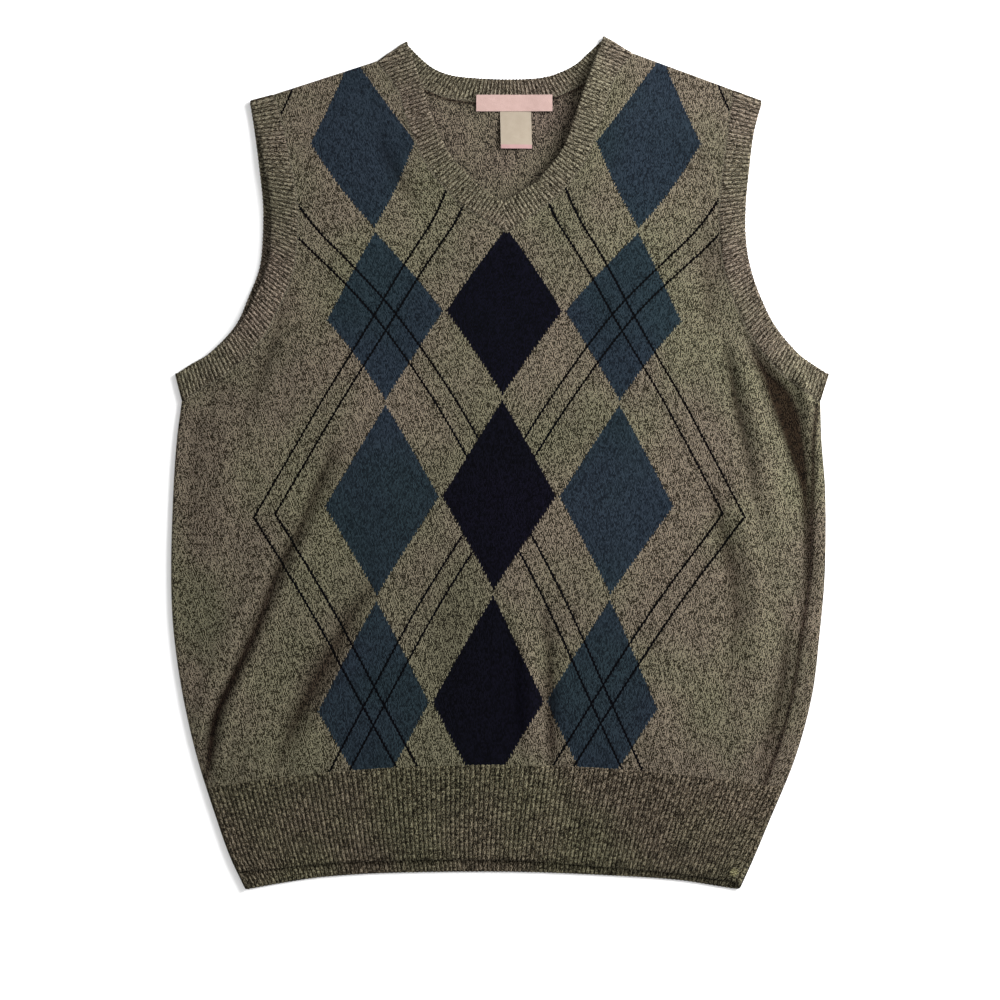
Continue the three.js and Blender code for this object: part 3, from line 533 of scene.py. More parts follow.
# %% A small helper for building node trees
class Builder:
    """Adds nodes to one tree. A value may be a number or another node's output."""

    def __init__(self, tree):
        self.tree = tree

    def node(self, kind, **settings):
        node = self.tree.nodes.new(kind)
        for name, value in settings.items():
            setattr(node, name, value)
        return node

    def feed(self, socket, value):
        if isinstance(value, bpy.types.NodeSocket):
            self.tree.links.new(value, socket)
        else:
            socket.default_value = value

    def math(self, operation, *values):
        node = self.node("ShaderNodeMath", operation=operation)
        for socket, value in zip(node.inputs, values):
            self.feed(socket, value)
        return node.outputs[0]

    def plus(self, a, b):
        return self.math("ADD", a, b)

    def minus(self, a, b):
        return self.math("SUBTRACT", a, b)

    def times(self, a, b):
        return self.math("MULTIPLY", a, b)

    def times_plus(self, a, b, added):
        return self.math("MULTIPLY_ADD", a, b, added)

    def combine(self, x, y, z=0.0):
        node = self.node("ShaderNodeCombineXYZ")
        for socket, value in zip(node.inputs, (x, y, z)):
            self.feed(socket, value)
        return node.outputs[0]

    def separate(self, vector):
        node = self.node("ShaderNodeSeparateXYZ")
        self.feed(node.inputs[0], vector)
        return node.outputs

    def noise(self, vector, scale, detail=2.0, roughness=0.5):
        node = self.node("ShaderNodeTexNoise")
        self.feed(node.inputs["Vector"], vector)
        self.feed(node.inputs["Scale"], scale)
        self.feed(node.inputs["Detail"], detail)
        self.feed(node.inputs["Roughness"], roughness)
        return node.outputs["Fac"]

    def random(self, vector):
        node = self.node("ShaderNodeTexWhiteNoise", noise_dimensions="3D")
        self.feed(node.inputs["Vector"], vector)
        return node.outputs["Value"]

    def ramp(self, value, low, high):
        node = self.node("ShaderNodeMapRange", interpolation_type="SMOOTHSTEP")
        for name, given in (("Value", value), ("From Min", low), ("From Max", high)):
            self.feed(node.inputs[name], given)
        return node.outputs[0]

    def mix_colour(self, share, a, b, blend="MIX"):
        node = self.node("ShaderNodeMix", data_type="RGBA", blend_type=blend)
        self.feed(node.inputs[0], share)
        self.feed(node.inputs[6], a)
        self.feed(node.inputs[7], b)
        return node.outputs[2]

    def shade(self, colour, share, low, high):
        """The colour times a shade that goes from low to high with the share."""
        return self.mix_colour(1.0, colour, self.mix_colour(share, low, high), blend="MULTIPLY")

    def bump(self, shader, height, strength, distance):
        node = self.node("ShaderNodeBump")
        node.inputs["Strength"].default_value = strength
        node.inputs["Distance"].default_value = distance * MM
        self.feed(node.inputs["Height"], height)
        self.feed(shader.inputs["Normal"], node.outputs[0])


def shader_group(name, inputs, outputs):
    """A group with its sockets, a builder for it, and its two ends."""
    tree = bpy.data.node_groups.new(name, "ShaderNodeTree")
    for label, kind, value in inputs:
        socket = tree.interface.new_socket(name=label, in_out="INPUT", socket_type=kind)
        if value is not None:
            socket.default_value = value
    for label, kind in outputs:
        tree.interface.new_socket(name=label, in_out="OUTPUT", socket_type=kind)
    build = Builder(tree)
    return build, build.node("NodeGroupInput").outputs, build.node("NodeGroupOutput").inputs


def linear(red, green, blue):
    """A screen colour, each channel up to 255, as the shader's linear colour."""
    channels = np.array([red, green, blue]) / 255
    curve = np.where(channels <= 0.04045, channels / 12.92, ((channels + 0.055) / 1.055) ** 2.4)
    return (*curve.tolist(), 1.0)


def grey(level):
    return level, level, level, 1


print("mid grey on the screen is", round(linear(128, 128, 128)[0], 3), "in a shader")

# %% Stitches: where the yarn lies
LEG_ROUND = (2.5, 0.32)


def build_stitch_group():
    """Stockinette: every stitch is a V of two slanted legs. Finds the leg and its height."""
    build, given, result = shader_group(
        "knit stitches",
        [("Stitches", "NodeSocketVector", None), ("Slant", "NodeSocketFloat", 0.85)],
        [("Height", "NodeSocketFloat"), ("Wale", "NodeSocketFloat"),
         ("Course", "NodeSocketFloat"), ("Leg", "NodeSocketVector"),
         ("Along", "NodeSocketFloat"), ("Across", "NodeSocketFloat")])
    wales, courses, _ = build.separate(given["Stitches"])
    in_wale = build.math("FRACT", wales)
    across = build.times(build.math("ABSOLUTE", build.minus(in_wale, 0.5)), 2.0)
    slanted = build.minus(courses, build.times(across, given["Slant"]))
    along = build.math("FRACT", slanted)
    course = build.math("FLOOR", slanted)
    wale = build.math("FLOOR", wales)
    leg = build.math("FLOOR", build.times(wales, 2.0))
    round_across = build.math("SINE", build.times_plus(across, *LEG_ROUND))
    round_along = build.math("SINE", build.times_plus(along, *LEG_ROUND))
    height = build.times(round_across, build.math("SQRT", round_along))
    build.feed(result["Height"], height)
    build.feed(result["Wale"], wale)
    build.feed(result["Course"], course)
    build.feed(result["Leg"], build.combine(leg, course))
    build.feed(result["Along"], along)
    build.feed(result["Across"], across)
    return build.tree


STITCH_GROUP = build_stitch_group()
print(STITCH_GROUP.name, "has", len(STITCH_GROUP.nodes), "nodes")

# %% Marl yarn: a light and a dark ply twisted together
LEG_TURN = 2.9
COURSE_TURN = 1.95
DRIFT_TURN = 14.0
CHANCE_TURN = 12.0
TWIST_TURN = 3.0
STRIPE_WEIGHT = 0.42
CHANCE_WEIGHT = 1.3
TWIST_WEIGHT = 0.38
DRIFT_SCALE = 0.22
PLY_TURNOVER = (-0.3, 0.42)


def build_marl_group():
    """The yarn's colour at a place: its twist, a stripe that drifts over the cloth, and chance."""
    build, given, result = shader_group(
        "marl yarn",
        [("Leg", "NodeSocketVector", None), ("Along", "NodeSocketFloat", 0.0),
         ("Across", "NodeSocketFloat", 0.0), ("Stitches", "NodeSocketVector", None),
         ("Light Share", "NodeSocketFloat", 0.5), ("Light", "NodeSocketColor", (0.3, 0.3, 0.2, 1)),
         ("Dark", "NodeSocketColor", (0.03, 0.03, 0.02, 1))],
        [("Color", "NodeSocketColor"), ("Ply", "NodeSocketFloat")])
    chance = build.random(given["Leg"])
    drift = build.noise(given["Stitches"], DRIFT_SCALE)
    leg, course, _ = build.separate(given["Leg"])
    phase = build.times_plus(leg, LEG_TURN, build.times(course, COURSE_TURN))
    phase = build.times_plus(drift, DRIFT_TURN, phase)
    turn = build.times_plus(given["Along"], 6.28, build.times(chance, CHANCE_TURN))
    twist = build.math("SINE", build.times_plus(given["Across"], TWIST_TURN, turn))
    weight = build.times(build.math("SINE", phase), STRIPE_WEIGHT)
    weight = build.times_plus(build.minus(chance, 0.5), CHANCE_WEIGHT, weight)
    weight = build.times_plus(twist, TWIST_WEIGHT, weight)
    weight = build.plus(weight, build.minus(given["Light Share"], 0.5))
    ply = build.ramp(weight, *PLY_TURNOVER)
    build.feed(result["Color"], build.mix_colour(ply, given["Dark"], given["Light"]))
    build.feed(result["Ply"], ply)
    return build.tree


MARL_GROUP = build_marl_group()
print(MARL_GROUP.name, "has", len(MARL_GROUP.nodes), "nodes")

# %% [markdown]
# The argyle chart is a rule and not a picture. Diamonds stand in columns and rows at even
# distances, and a diamond's edge steps one wale for every two courses. Thin double lines run
# parallel to the edges, a few wales to each side of a lattice through every second diamond, and
# turn back outside the outer columns.

# %% The argyle chart
COLUMN_WALES = 52.0
ROW_COURSES = 104.0
DIAMOND_COURSES = 50.5
LINE_OFFSET = 9.5
LINE_REACH = 0.75
YARN_REACH = 0.8
YARN_MIDDLE = 0.9
TOP_ROW = 1.5
TURN_COLUMN = 1.5


def build_argyle_group():
    build, given, result = shader_group(
        "argyle chart",
        [("Wale", "NodeSocketFloat", 0.0), ("Course", "NodeSocketFloat", 0.0),
         ("Stitches", "NodeSocketVector", None)],
        [("Middle Diamond", "NodeSocketFloat"), ("Side Diamond", "NodeSocketFloat"),
         ("Line", "NodeSocketFloat")])

    def fold_back(value, period):
        """How far the value lies from the nearest multiple of the period, and which one."""
        whole = build.math("ROUND", build.math("DIVIDE", value, period))
        return build.minus(value, build.times(whole, period)), whole

    off_column, column = fold_back(given["Wale"], COLUMN_WALES)
    off_row, row = fold_back(given["Course"], ROW_COURSES)
    reach = build.plus(build.times(build.math("ABSOLUTE", off_column), 2.0),
                       build.math("ABSOLUTE", off_row))
    inside = build.math("LESS_THAN", reach, DIAMOND_COURSES)
    columns_out = build.math("ABSOLUTE", column)
    in_middle = build.math("LESS_THAN", columns_out, 0.5)
    in_side = build.math("COMPARE", columns_out, 1.0, 0.5)
    below_neck = build.math("LESS_THAN", row, TOP_ROW)
    middle = build.times(inside, build.times(in_middle, below_neck))
    side = build.times(inside, in_side)

    outward = build.math("ABSOLUTE", given["Wale"])
    doubled = build.times(outward, 2.0)
    off_lattice, _ = fold_back(given["Course"], 2 * ROW_COURSES)
    near_turn = build.math("GREATER_THAN", outward, TURN_COLUMN * COLUMN_WALES)
    wales, courses, _ = build.separate(given["Stitches"])
    yarn_out = build.times(build.math("ABSOLUTE", build.minus(wales, 0.5)), 2.0)
    yarn_up = build.minus(courses, YARN_MIDDLE)
    lines = []
    for operation, turned in (("ADD", "LESS_THAN"), ("SUBTRACT", "GREATER_THAN")):
        off_line, _ = fold_back(build.math(operation, doubled, given["Course"]), 2 * ROW_COURSES)
        on_line = build.math("COMPARE", build.math("ABSOLUTE", off_line), LINE_OFFSET, LINE_REACH)
        off_yarn, _ = fold_back(build.math(operation, yarn_out, yarn_up), 2 * ROW_COURSES)
        on_yarn = build.math("COMPARE", build.math("ABSOLUTE", off_yarn), LINE_OFFSET, YARN_REACH)
        on_line = build.math("MAXIMUM", on_line, on_yarn)
        hidden = build.times(near_turn, build.math(turned, off_lattice, 0.0))
        lines.append(build.times(on_line, build.minus(1.0, hidden)))
    line = build.math("MAXIMUM", *lines)
    build.feed(result["Middle Diamond"], middle)
    build.feed(result["Side Diamond"], side)
    build.feed(result["Line"], build.times(line, build.minus(1.0, middle)))
    return build.tree


ARGYLE_GROUP = build_argyle_group()
print("shader groups:", [group.name for group in bpy.data.node_groups])

# %% [markdown]
# ## Knit materials
# All the knit parts share one recipe: stitches from the UV map, a yarn colour, painted shade in the
# gaps between the legs and in the creases, a little fuzz that softens the bump, and a soft sheen.
# The ribbed bands add painted shade in their valleys and painted light on their crests. The front
# adds the argyle chart, and the back's inside shows the purl side, with its bumps in rows.

# %% Colours and shades, matched to the photograph
MARL_LIGHT = linear(106, 100, 85)
MARL_DARK = linear(25, 22, 15)
PURL_LIGHT = linear(112, 105, 90)
PURL_DARK = linear(30, 27, 22)
BLUE = linear(34, 44, 52)
BLUE_DEEP = linear(11, 16, 21)
NAVY = linear(9, 9, 19)
NAVY_DEEP = linear(1, 1, 3)
LINE_BLACK = linear(1, 1, 3)
WHITE = grey(1)
# Painted shade in the creases, the gaps between the legs and the rib valleys, and painted light on
# the rib crests.
CREASE_SHADE = (0.16, 0.115, 0.11, 1)
GAP_SHADE = (0.42, 0.40, 0.38, 1)
VALLEY_SHADE = (0.42, 0.38, 0.34, 1)
PAINTED_CREST_LIGHT = 1.2
STROKE_LIGHT = 1.25
WORN_SHADES = (grey(0.90), (1.08, 1.07, 1.06, 1))
DYE_SHADES = ((0.95, 1.01, 0.93, 1), (1.04, 0.98, 1.03, 1))
WORN_SCALE = 14.0
DYE_SCALE = 10.0
FUZZ_SCALE = 2600.0
FUZZ_SHARE = 0.04
STITCH_BUMP = 0.9
STITCH_RELIEF = 0.22
PURL_TINT = (0.84, 0.80, 0.83, 1)
RIB_TINT = (0.97, 0.95, 1.01, 1)
HEM_TINT = (0.84, 0.84, 0.82, 1)
print("marl, light and dark:", MARL_LIGHT[:3], MARL_DARK[:3])

# %% The recipe for knit
def new_material(name, roughness=0.9, sheen=0.0, specular=0.03):
    """A material, a builder for its nodes, and its one shader with its plain values set."""
    material = bpy.data.materials.new(name)
    material.use_nodes = True
    shader = material.node_tree.nodes["Principled BSDF"]
    for socket, value in (("Roughness", roughness), ("Sheen Weight", sheen),
                          ("Sheen Roughness", 0.5), ("Specular IOR Level", specular)):
        shader.inputs[socket].default_value = value
    return material, Builder(material.node_tree), shader


def use_group(build, tree, **values):
    """Adds a group. An underscore in a value's name stands for a space."""
    node = build.node("ShaderNodeGroup")
    node.node_tree = tree
    for name, value in values.items():
        build.feed(node.inputs[name.replace("_", " ")], value)
    return node.outputs


def argyle_colour(build, stitch, marl, place):
    """The marl, with the heathered diamonds and the thin lines over it."""
    chart = use_group(build, ARGYLE_GROUP, Wale=stitch["Wale"], Course=stitch["Course"],
                      Stitches=place)
    heather = build.times(build.plus(build.random(stitch["Leg"]), marl["Ply"]), 0.5)
    blue = build.mix_colour(heather, BLUE_DEEP, BLUE)
    navy = build.mix_colour(heather, NAVY_DEEP, NAVY)
    colour = build.mix_colour(chart["Side Diamond"], marl["Color"], blue)
    colour = build.mix_colour(chart["Middle Diamond"], colour, navy)
    return build.mix_colour(chart["Line"], colour, LINE_BLACK)


def rib_shading(build, colour, place, stroke_shade):
    """Uneven strokes of yarn along each rib, painted shade in the valley between two ribs and
    painted light on the crests.
    """
    across_ribs, along_ribs, _ = build.separate(place)
    rib = build.math("FLOOR", build.times_plus(across_ribs, 0.5, 0.25))
    on_rib = build.combine(build.times(rib, 7.3), build.times(along_ribs, 0.6))
    stroke = build.ramp(build.noise(on_rib, 1.0, 1.0), 0.40, 0.60)
    colour = build.shade(colour, stroke, grey(stroke_shade), grey(STROKE_LIGHT))
    # Painted shade in each valley between ribs, painted light on each crest.
    turn = build.times(build.minus(across_ribs, 0.5), np.pi)
    valley = build.ramp(build.math("COSINE", turn), -1.0, 0.0)
    return build.shade(colour, valley, VALLEY_SHADE, grey(PAINTED_CREST_LIGHT))


def knit_material(name, slant=0.85, light_share=0.47, argyle=False, ribbed=False,
                  stroke_shade=0.6, tint=WHITE, yarns=(MARL_LIGHT, MARL_DARK)):
    material, build, shader = new_material(name, sheen=0.01)
    place = build.node("ShaderNodeUVMap", uv_map="stitches").outputs[0]
    stitch = use_group(build, STITCH_GROUP, Stitches=place, Slant=slant)
    marl = use_group(build, MARL_GROUP, Leg=stitch["Leg"], Along=stitch["Along"],
                     Across=stitch["Across"], Stitches=place, Light_Share=light_share,
                     Light=yarns[0], Dark=yarns[1])
    colour = argyle_colour(build, stitch, marl, place) if argyle else marl["Color"]
    # Painted shade in the low gaps between the legs.
    colour = build.shade(colour, build.ramp(stitch["Height"], 0.05, 0.8), GAP_SHADE, WHITE)
    if ribbed:
        colour = rib_shading(build, colour, place, stroke_shade)
    in_room = build.node("ShaderNodeTexCoord").outputs["Object"]
    # Painted shade in the creases and along the side seam, read from the crease attribute.
    crease = build.node("ShaderNodeAttribute", attribute_name="crease").outputs["Fac"]
    colour = build.shade(colour, build.ramp(crease, 0.0, 0.95), WHITE, CREASE_SHADE)
    worn = build.ramp(build.noise(in_room, WORN_SCALE, 4.0, 0.6), 0.25, 0.75)
    colour = build.shade(colour, worn, *WORN_SHADES)
    dyed = build.ramp(build.noise(in_room, DYE_SCALE), 0.36, 0.64)
    colour = build.shade(colour, dyed, *DYE_SHADES)
    colour = build.mix_colour(1.0, colour, tint, blend="MULTIPLY")
    build.feed(shader.inputs["Base Color"], colour)
    fuzz = build.noise(in_room, FUZZ_SCALE)
    height = build.plus(stitch["Height"], build.times(fuzz, FUZZ_SHARE))
    build.bump(shader, height, STITCH_BUMP, STITCH_RELIEF)
    return material


FRONT_KNIT = knit_material("front argyle knit", argyle=True)
BACK_OUTSIDE = knit_material("back marl knit")
BACK_INSIDE = knit_material("back purl side", slant=0.25, tint=PURL_TINT,
                            yarns=(PURL_LIGHT, PURL_DARK))
RIB_KNIT = knit_material("rib knit", ribbed=True, light_share=0.54, stroke_shade=0.82,
                         tint=RIB_TINT)
HEM_KNIT = knit_material("hem knit", ribbed=True, light_share=0.44, tint=HEM_TINT)
print("knit materials:", len(bpy.data.materials))

# %% [markdown]
# ## The front panel
# The front is cut as one shaped panel: straight rows of points run from side to side, up to the
# point of the V, and from there each half goes on alone to its shoulder and over it. The rows
# bend a little, as knitted courses do. Solidify then gives the cloth its thickness.

# %% Rows of the front
BODY_ROWS = 102
ARM_KNOTS = 108
NECK_KNOTS = 42
FRONT_HALF_COLUMNS = 88
FOLD_STEPS = 6


def bent_row(left, right, middle, columns):
    """A row of points from left to right that bows through the middle."""
    share = np.linspace(0, 1, columns + 1)[:, None]
    left, right, middle = (np.array(p, float) for p in (left, right, middle))
    return mix(left, right, share) + (1 - (2 * share - 1) ** 2) * (middle - (left + right) / 2)


def body_ends(row, rows):
    """How far up the two ends of a row lie, between the hem seam and the underarm."""
    ends = []
    for side in ("left", "right"):
        hem_y = hem_seam_y(flat_end_x(side, HEM_SEAM_END_Y))
        ends.append(mix(float(hem_y), UNDERARM_Y, row / rows))
    return ends


def front_rows():
    """Rows from the hem seam to the point of the V, with their ends on the seams."""
    ends = []
    for row in range(BODY_ROWS + 1):
        left_y, right_y = body_ends(row, BODY_ROWS)
        ends.append(((side_seam("left", left_y)[0], left_y),
                     (side_seam("right", right_y)[0], right_y)))
    seams = [armhole_lines(side, "front", ARM_KNOTS)[1] for side in ("left", "right")]
    for knot in range(ARM_KNOTS - 1, NECK_KNOTS - 1, -1):
        ends.append((seams[0][knot], seams[1][knot]))
    heights = np.array([(left[1] + right[1]) / 2 for left, right in ends])
    shares = (heights - heights[0]) / (heights[-1] - heights[0])
    rows = []
    for (left, right), share in zip(ends, shares):
        middle = (mix((left[0] + right[0]) / 2, V_SEAM_POINT[0], ease(share)),
                  mix(HEM_SEAM_MIDDLE_Y, V_SEAM_POINT[1], share))
        rows.append(bent_row(left, right, middle, 2 * FRONT_HALF_COLUMNS))
    return rows


def over_shoulder(points):
    """Rows that carry the front over the shoulder, down to the height of the back."""
    rows = []
    radius = (points[:, 2] - BACK_MID) / 2
    for angle in np.linspace(0, np.pi, FOLD_STEPS + 1)[1:]:
        row = points.copy()
        row[:, 1] += radius * np.sin(angle)
        row[:, 2] -= radius * (1 - np.cos(angle))
        rows.append(row)
    last = points.copy()
    last[:, 1] -= SEAM_RUN
    last[:, 2] = BACK_MID
    return rows + [last]


def lift_to_front(flat):
    return np.column_stack([flat, front_height(flat[:, 0], flat[:, 1])])


print("rows of the front below the V:", len(front_rows()))

# %% [markdown]
# The chart's coordinates come from the cloth itself. The table gives, for a few heights, where
# the left and right columns of diamonds lie, how wide a wale is and which course is reached. The
# courses sag a little towards the sides, because the cloth hangs from the shoulders when it is
# laid down.

# %% Wales and courses on the front
CHART_ROWS = table("y left right wale course",
    (331, -119.0, 129.5, 1.62, 264), (255, -109.5, 118.3, 1.66, 208),
    (187, -100.0, 109.8, 2.017, 156), (120, -92.0, 98.1, 1.828, 104),
    (50, -91.5, 95.0, 1.793, 52), (-28, -94.5, 92.5, 1.798, 0), (-106, -98.5, 87.5, 1.788, -52),
    (-192, -101.0, 81.0, 1.75, -104), (-275, -102.0, 76.0, 1.712, -156))
SAG = table("y drop",
    (300, 1.0), (255, 2.0), (120, 8.5), (-260, 8.0))
SAG_HALF_WIDTH = 140.0
NARROW_FROM_Y = 187


def front_stitches(points):
    """Wales across and courses up, for each point of the front."""
    x, y = points[:, 0], points[:, 1]
    level = y + read_table(SAG, "y", "drop", y) * (x / SAG_HALF_WIDTH) ** 2
    left = read_table(CHART_ROWS, "y", "left", level)
    right = read_table(CHART_ROWS, "y", "right", level)
    wale = read_table(CHART_ROWS, "y", "wale", level)
    wale = np.where(level < NARROW_FROM_Y, (right - left) / (2 * COLUMN_WALES), wale)
    on_left = x < (left + right) / 2
    wales = np.where(on_left, -COLUMN_WALES + (x - left) / wale,
                     COLUMN_WALES + (x - right) / wale) + 0.5
    return np.column_stack([wales, read_table(CHART_ROWS, "y", "course", level)])


print("course at the middle:", round(float(front_stitches(np.zeros((1, 3)))[0, 1]), 1))

# %% Make the front panel
def thicken(obj, materials, wall=WALL):
    """Gives a sheet its thickness. A second material goes on its underside."""
    for material in materials:
        obj.data.materials.append(material)
    solidify = obj.modifiers.new("wall", "SOLIDIFY")
    solidify.thickness = wall * MM
    solidify.offset = 0.0
    if len(materials) > 1:
        solidify.material_offset = 1
    apply_modifiers(obj)
    shade_smooth(obj)


def make_front_panel():
    full = front_rows()
    columns = 2 * FRONT_HALF_COLUMNS + 1
    points = [lift_to_front(row) for row in full]
    faces = [grid_faces(len(full), columns)]
    first = len(full) * columns
    halves = {"left": slice(None, FRONT_HALF_COLUMNS + 1), "right": slice(FRONT_HALF_COLUMNS, None)}
    for side, half in halves.items():
        seam = armhole_lines(side, "front", ARM_KNOTS)[1]
        neck = neck_lines(side, NECK_KNOTS)[1]
        rows = [lift_to_front(full[-1][half])]
        for knot in range(NECK_KNOTS - 1, -1, -1):
            ends = (seam[knot], neck[knot])[::int(-SIGN[side])]
            rows.append(lift_to_front(bent_row(*ends, sum(ends) / 2, FRONT_HALF_COLUMNS)))
        rows += over_shoulder(rows[-1])
        points += rows
        faces.append(grid_faces(len(rows), FRONT_HALF_COLUMNS + 1, first))
        first += len(rows) * (FRONT_HALF_COLUMNS + 1)
    points = np.vstack(points)
    # The crease attribute carries the painted shade of the creases.
    obj = new_mesh_object("front_panel_knit", points, np.vstack(faces), front_stitches(points),
                          {"crease": crease_shade_share(points[:, 0], points[:, 1])})
    merge_close(obj)
    thicken(obj, [FRONT_KNIT, BACK_INSIDE])
    return obj


front_panel = make_front_panel()
print("front panel:", count_triangles(front_panel), "triangles")

# %% [markdown]
# ## The back panel
# The back lies flat under the front, and only its inside shows, through the neck. Its sides fold up
# to meet the front: on the left just round the edge, and on the right with a lap that shows beside
# the side seam. The inside face wears the purl side of the knit, and the outside the smooth side. A
# painted dark line below the neck seam stands for the shadow of the band's edge on the back, and
# the raised sides carry painted crease shade.

# %% Make the back panel
COURSE_HEIGHT = 1.4
WALE_WIDTH = 1.8
BACK_BODY_ROWS = 68
BACK_ARM_KNOTS = 54
BACK_COLUMNS = 90
LAP_STEPS = 6
TOP_ROWS = 10
# A painted shadow line below the back neck seam.
NECK_SHADOW = {"drop": 2.2, "half_width": 4.0, "depth": 0.8}


def round_side(start, side, fold_steps=FOLD_STEPS):
    """Rows of points that carry the back round one side, up to the side seam."""
    sign = SIGN[side]
    radius, lap = roll(side, start[:, 1])
    columns = []
    for angle in np.linspace(0, np.pi, fold_steps + 1)[1:]:
        column = start.copy()
        column[:, 0] += sign * radius * np.sin(angle)
        column[:, 2] += radius * (1 - np.cos(angle))
        columns.append(column)
    seam_z = side_seam(side, start[:, 1])[1]
    top = columns[-1]
    for share in np.linspace(0, 1, LAP_STEPS + 1)[1:]:
        column = top.copy()
        column[:, 0] -= sign * lap * share
        column[:, 2] = mix(top[:, 2], seam_z, share**2)
        columns.append(column)
    return columns


def on_back(flat):
    return np.column_stack([flat, back_height(flat[:, 0], flat[:, 1])])


def back_body_grid(rows):
    grid = []
    for row in range(rows + 1):
        ends = [(flat_end_x(side, y), y) for side, y in zip(SIGN, body_ends(row, rows))]
        x = np.linspace(ends[0][0], ends[1][0], BACK_COLUMNS + 1)
        y = mix(hem_seam_y(x), UNDERARM_Y, row / rows)
        grid.append(on_back(np.column_stack([x, y])))
    return np.array(grid)


def back_top_row():
    """The back's last row: a shoulder seam, the neck seam and the other shoulder."""
    neck = even_line(BACK_NECK_SEAM, BACK_COLUMNS // 3)
    shoulder = BACK_COLUMNS // 3
    pieces = []
    for side in ("left", "right"):
        x = np.linspace(ARMHOLE_SEAM_TOP[side][0], NECK_SEAM_TOP[side][0], shoulder, endpoint=False)
        line = np.column_stack([x, shoulder_y(x)])
        pieces.append(line if side == "left" else line[::-1])
    top = np.vstack([pieces[0], neck, pieces[1]])
    top[:shoulder + 1, 1] -= SEAM_RUN
    top[-shoulder - 1:, 1] -= SEAM_RUN
    return on_back(top)


def make_back_panel():
    body = back_body_grid(BACK_BODY_ROWS)
    left = round_side(body[:, 0], "left")[::-1]
    right = round_side(body[:, -1], "right")
    wide = np.stack([*left, *body.transpose(1, 0, 2), *right], axis=1)
    seams = [armhole_lines(side, "back", BACK_ARM_KNOTS)[1] for side in ("left", "right")]
    upper = [body[-1]]
    share = np.linspace(0, 1, BACK_COLUMNS + 1)[:, None]
    top = back_top_row()
    for knot in range(BACK_ARM_KNOTS - 1, 0, -1):
        straight = on_back(mix(seams[0][knot], seams[1][knot], share))
        climb = ease((TOP_ROWS - knot) / TOP_ROWS)
        upper.append(mix(straight, top, climb) if knot < TOP_ROWS else straight)
        upper[-1][0, :2], upper[-1][-1, :2] = seams[0][knot], seams[1][knot]
    upper.append(top)
    upper = np.array(upper)
    points = np.vstack([wide.reshape(-1, 3), upper.reshape(-1, 3)])
    faces = np.vstack([grid_faces(wide.shape[0], wide.shape[1]),
                       grid_faces(upper.shape[0], upper.shape[1], wide.shape[0] * wide.shape[1])])
    x, y = points[:, 0], points[:, 1]
    run = np.stack([run_along(row) for row in wide])
    run += wide[:, [len(left)], 0] - run[:, [len(left)]]
    across = np.concatenate([run.ravel(), upper[..., 0].ravel()])
    stitches = np.column_stack([across / WALE_WIDTH, y / COURSE_HEIGHT])
    # Painted shade: the creases' shade on the raised sides of the back, and a painted shadow line
    # below the neck seam.
    painted_shade = np.where(points[:, 2] > FRONT_LOWEST, crease_shade_share(x, y), 0)
    below_seam = [(seam_x, seam_y - NECK_SHADOW["drop"], NECK_SHADOW["half_width"],
                   -NECK_SHADOW["depth"]) for seam_x, seam_y in BACK_NECK_SEAM]
    painted_shade = np.maximum(painted_shade, -fold_lift(below_seam, x, y))
    obj = new_mesh_object("back_panel_knit", points, faces, stitches, {"crease": painted_shade})
    merge_close(obj)
    thicken(obj, [BACK_INSIDE, BACK_OUTSIDE])
    return obj


back_panel = make_back_panel()
print("back panel:", count_triangles(back_panel), "triangles")

# %% [markdown]
# ## Ribbed bands
# The neckband, the armbands and the hem are one by one rib: a knit wale stands up, a purl wale
# sinks beside it, all the way along. A band is built as a smooth flat tube first, with rounded
# edges, and each point stores which rib it is in. A Geometry Nodes tree then raises the ribs
# along the surface normal, so the same tree serves every band at its own pitch and depth.

# %% The tree that raises the ribs
RIB_DEPTH = 0.75
CREST_WIDTH = 0.6


def geometry_group(name, inputs):
    """A tree with its inputs, a builder for it, its two ends and its inputs' identifiers."""
    tree = bpy.data.node_groups.new(name, "GeometryNodeTree")
    tree.interface.new_socket(name="Geometry", in_out="INPUT", socket_type="NodeSocketGeometry")
    identifiers = {}
    for label, kind, value in inputs:
        socket = tree.interface.new_socket(name=label, in_out="INPUT", socket_type=kind)
        if value is not None:
            socket.default_value = value
        identifiers[label] = socket.identifier
    tree.interface.new_socket(name="Geometry", in_out="OUTPUT", socket_type="NodeSocketGeometry")
    build = Builder(tree)
    given, result = build.node("NodeGroupInput").outputs, build.node("NodeGroupOutput").inputs
    return build, given, result, identifiers


def end_tree(build, geometry, given, result):
    """Both trees end alike: plain meshes, with the material that was asked for."""
    realize = build.node("GeometryNodeRealizeInstances")
    build.feed(realize.inputs[0], geometry)
    paint = build.node("GeometryNodeSetMaterial")
    build.feed(paint.inputs["Geometry"], realize.outputs[0])
    build.feed(paint.inputs["Material"], given["Material"])
    build.feed(result["Geometry"], paint.outputs[0])


def named_value(build, name):
    node = build.node("GeometryNodeInputNamedAttribute", data_type="FLOAT")
    node.inputs["Name"].default_value = name
    return node.outputs["Attribute"]


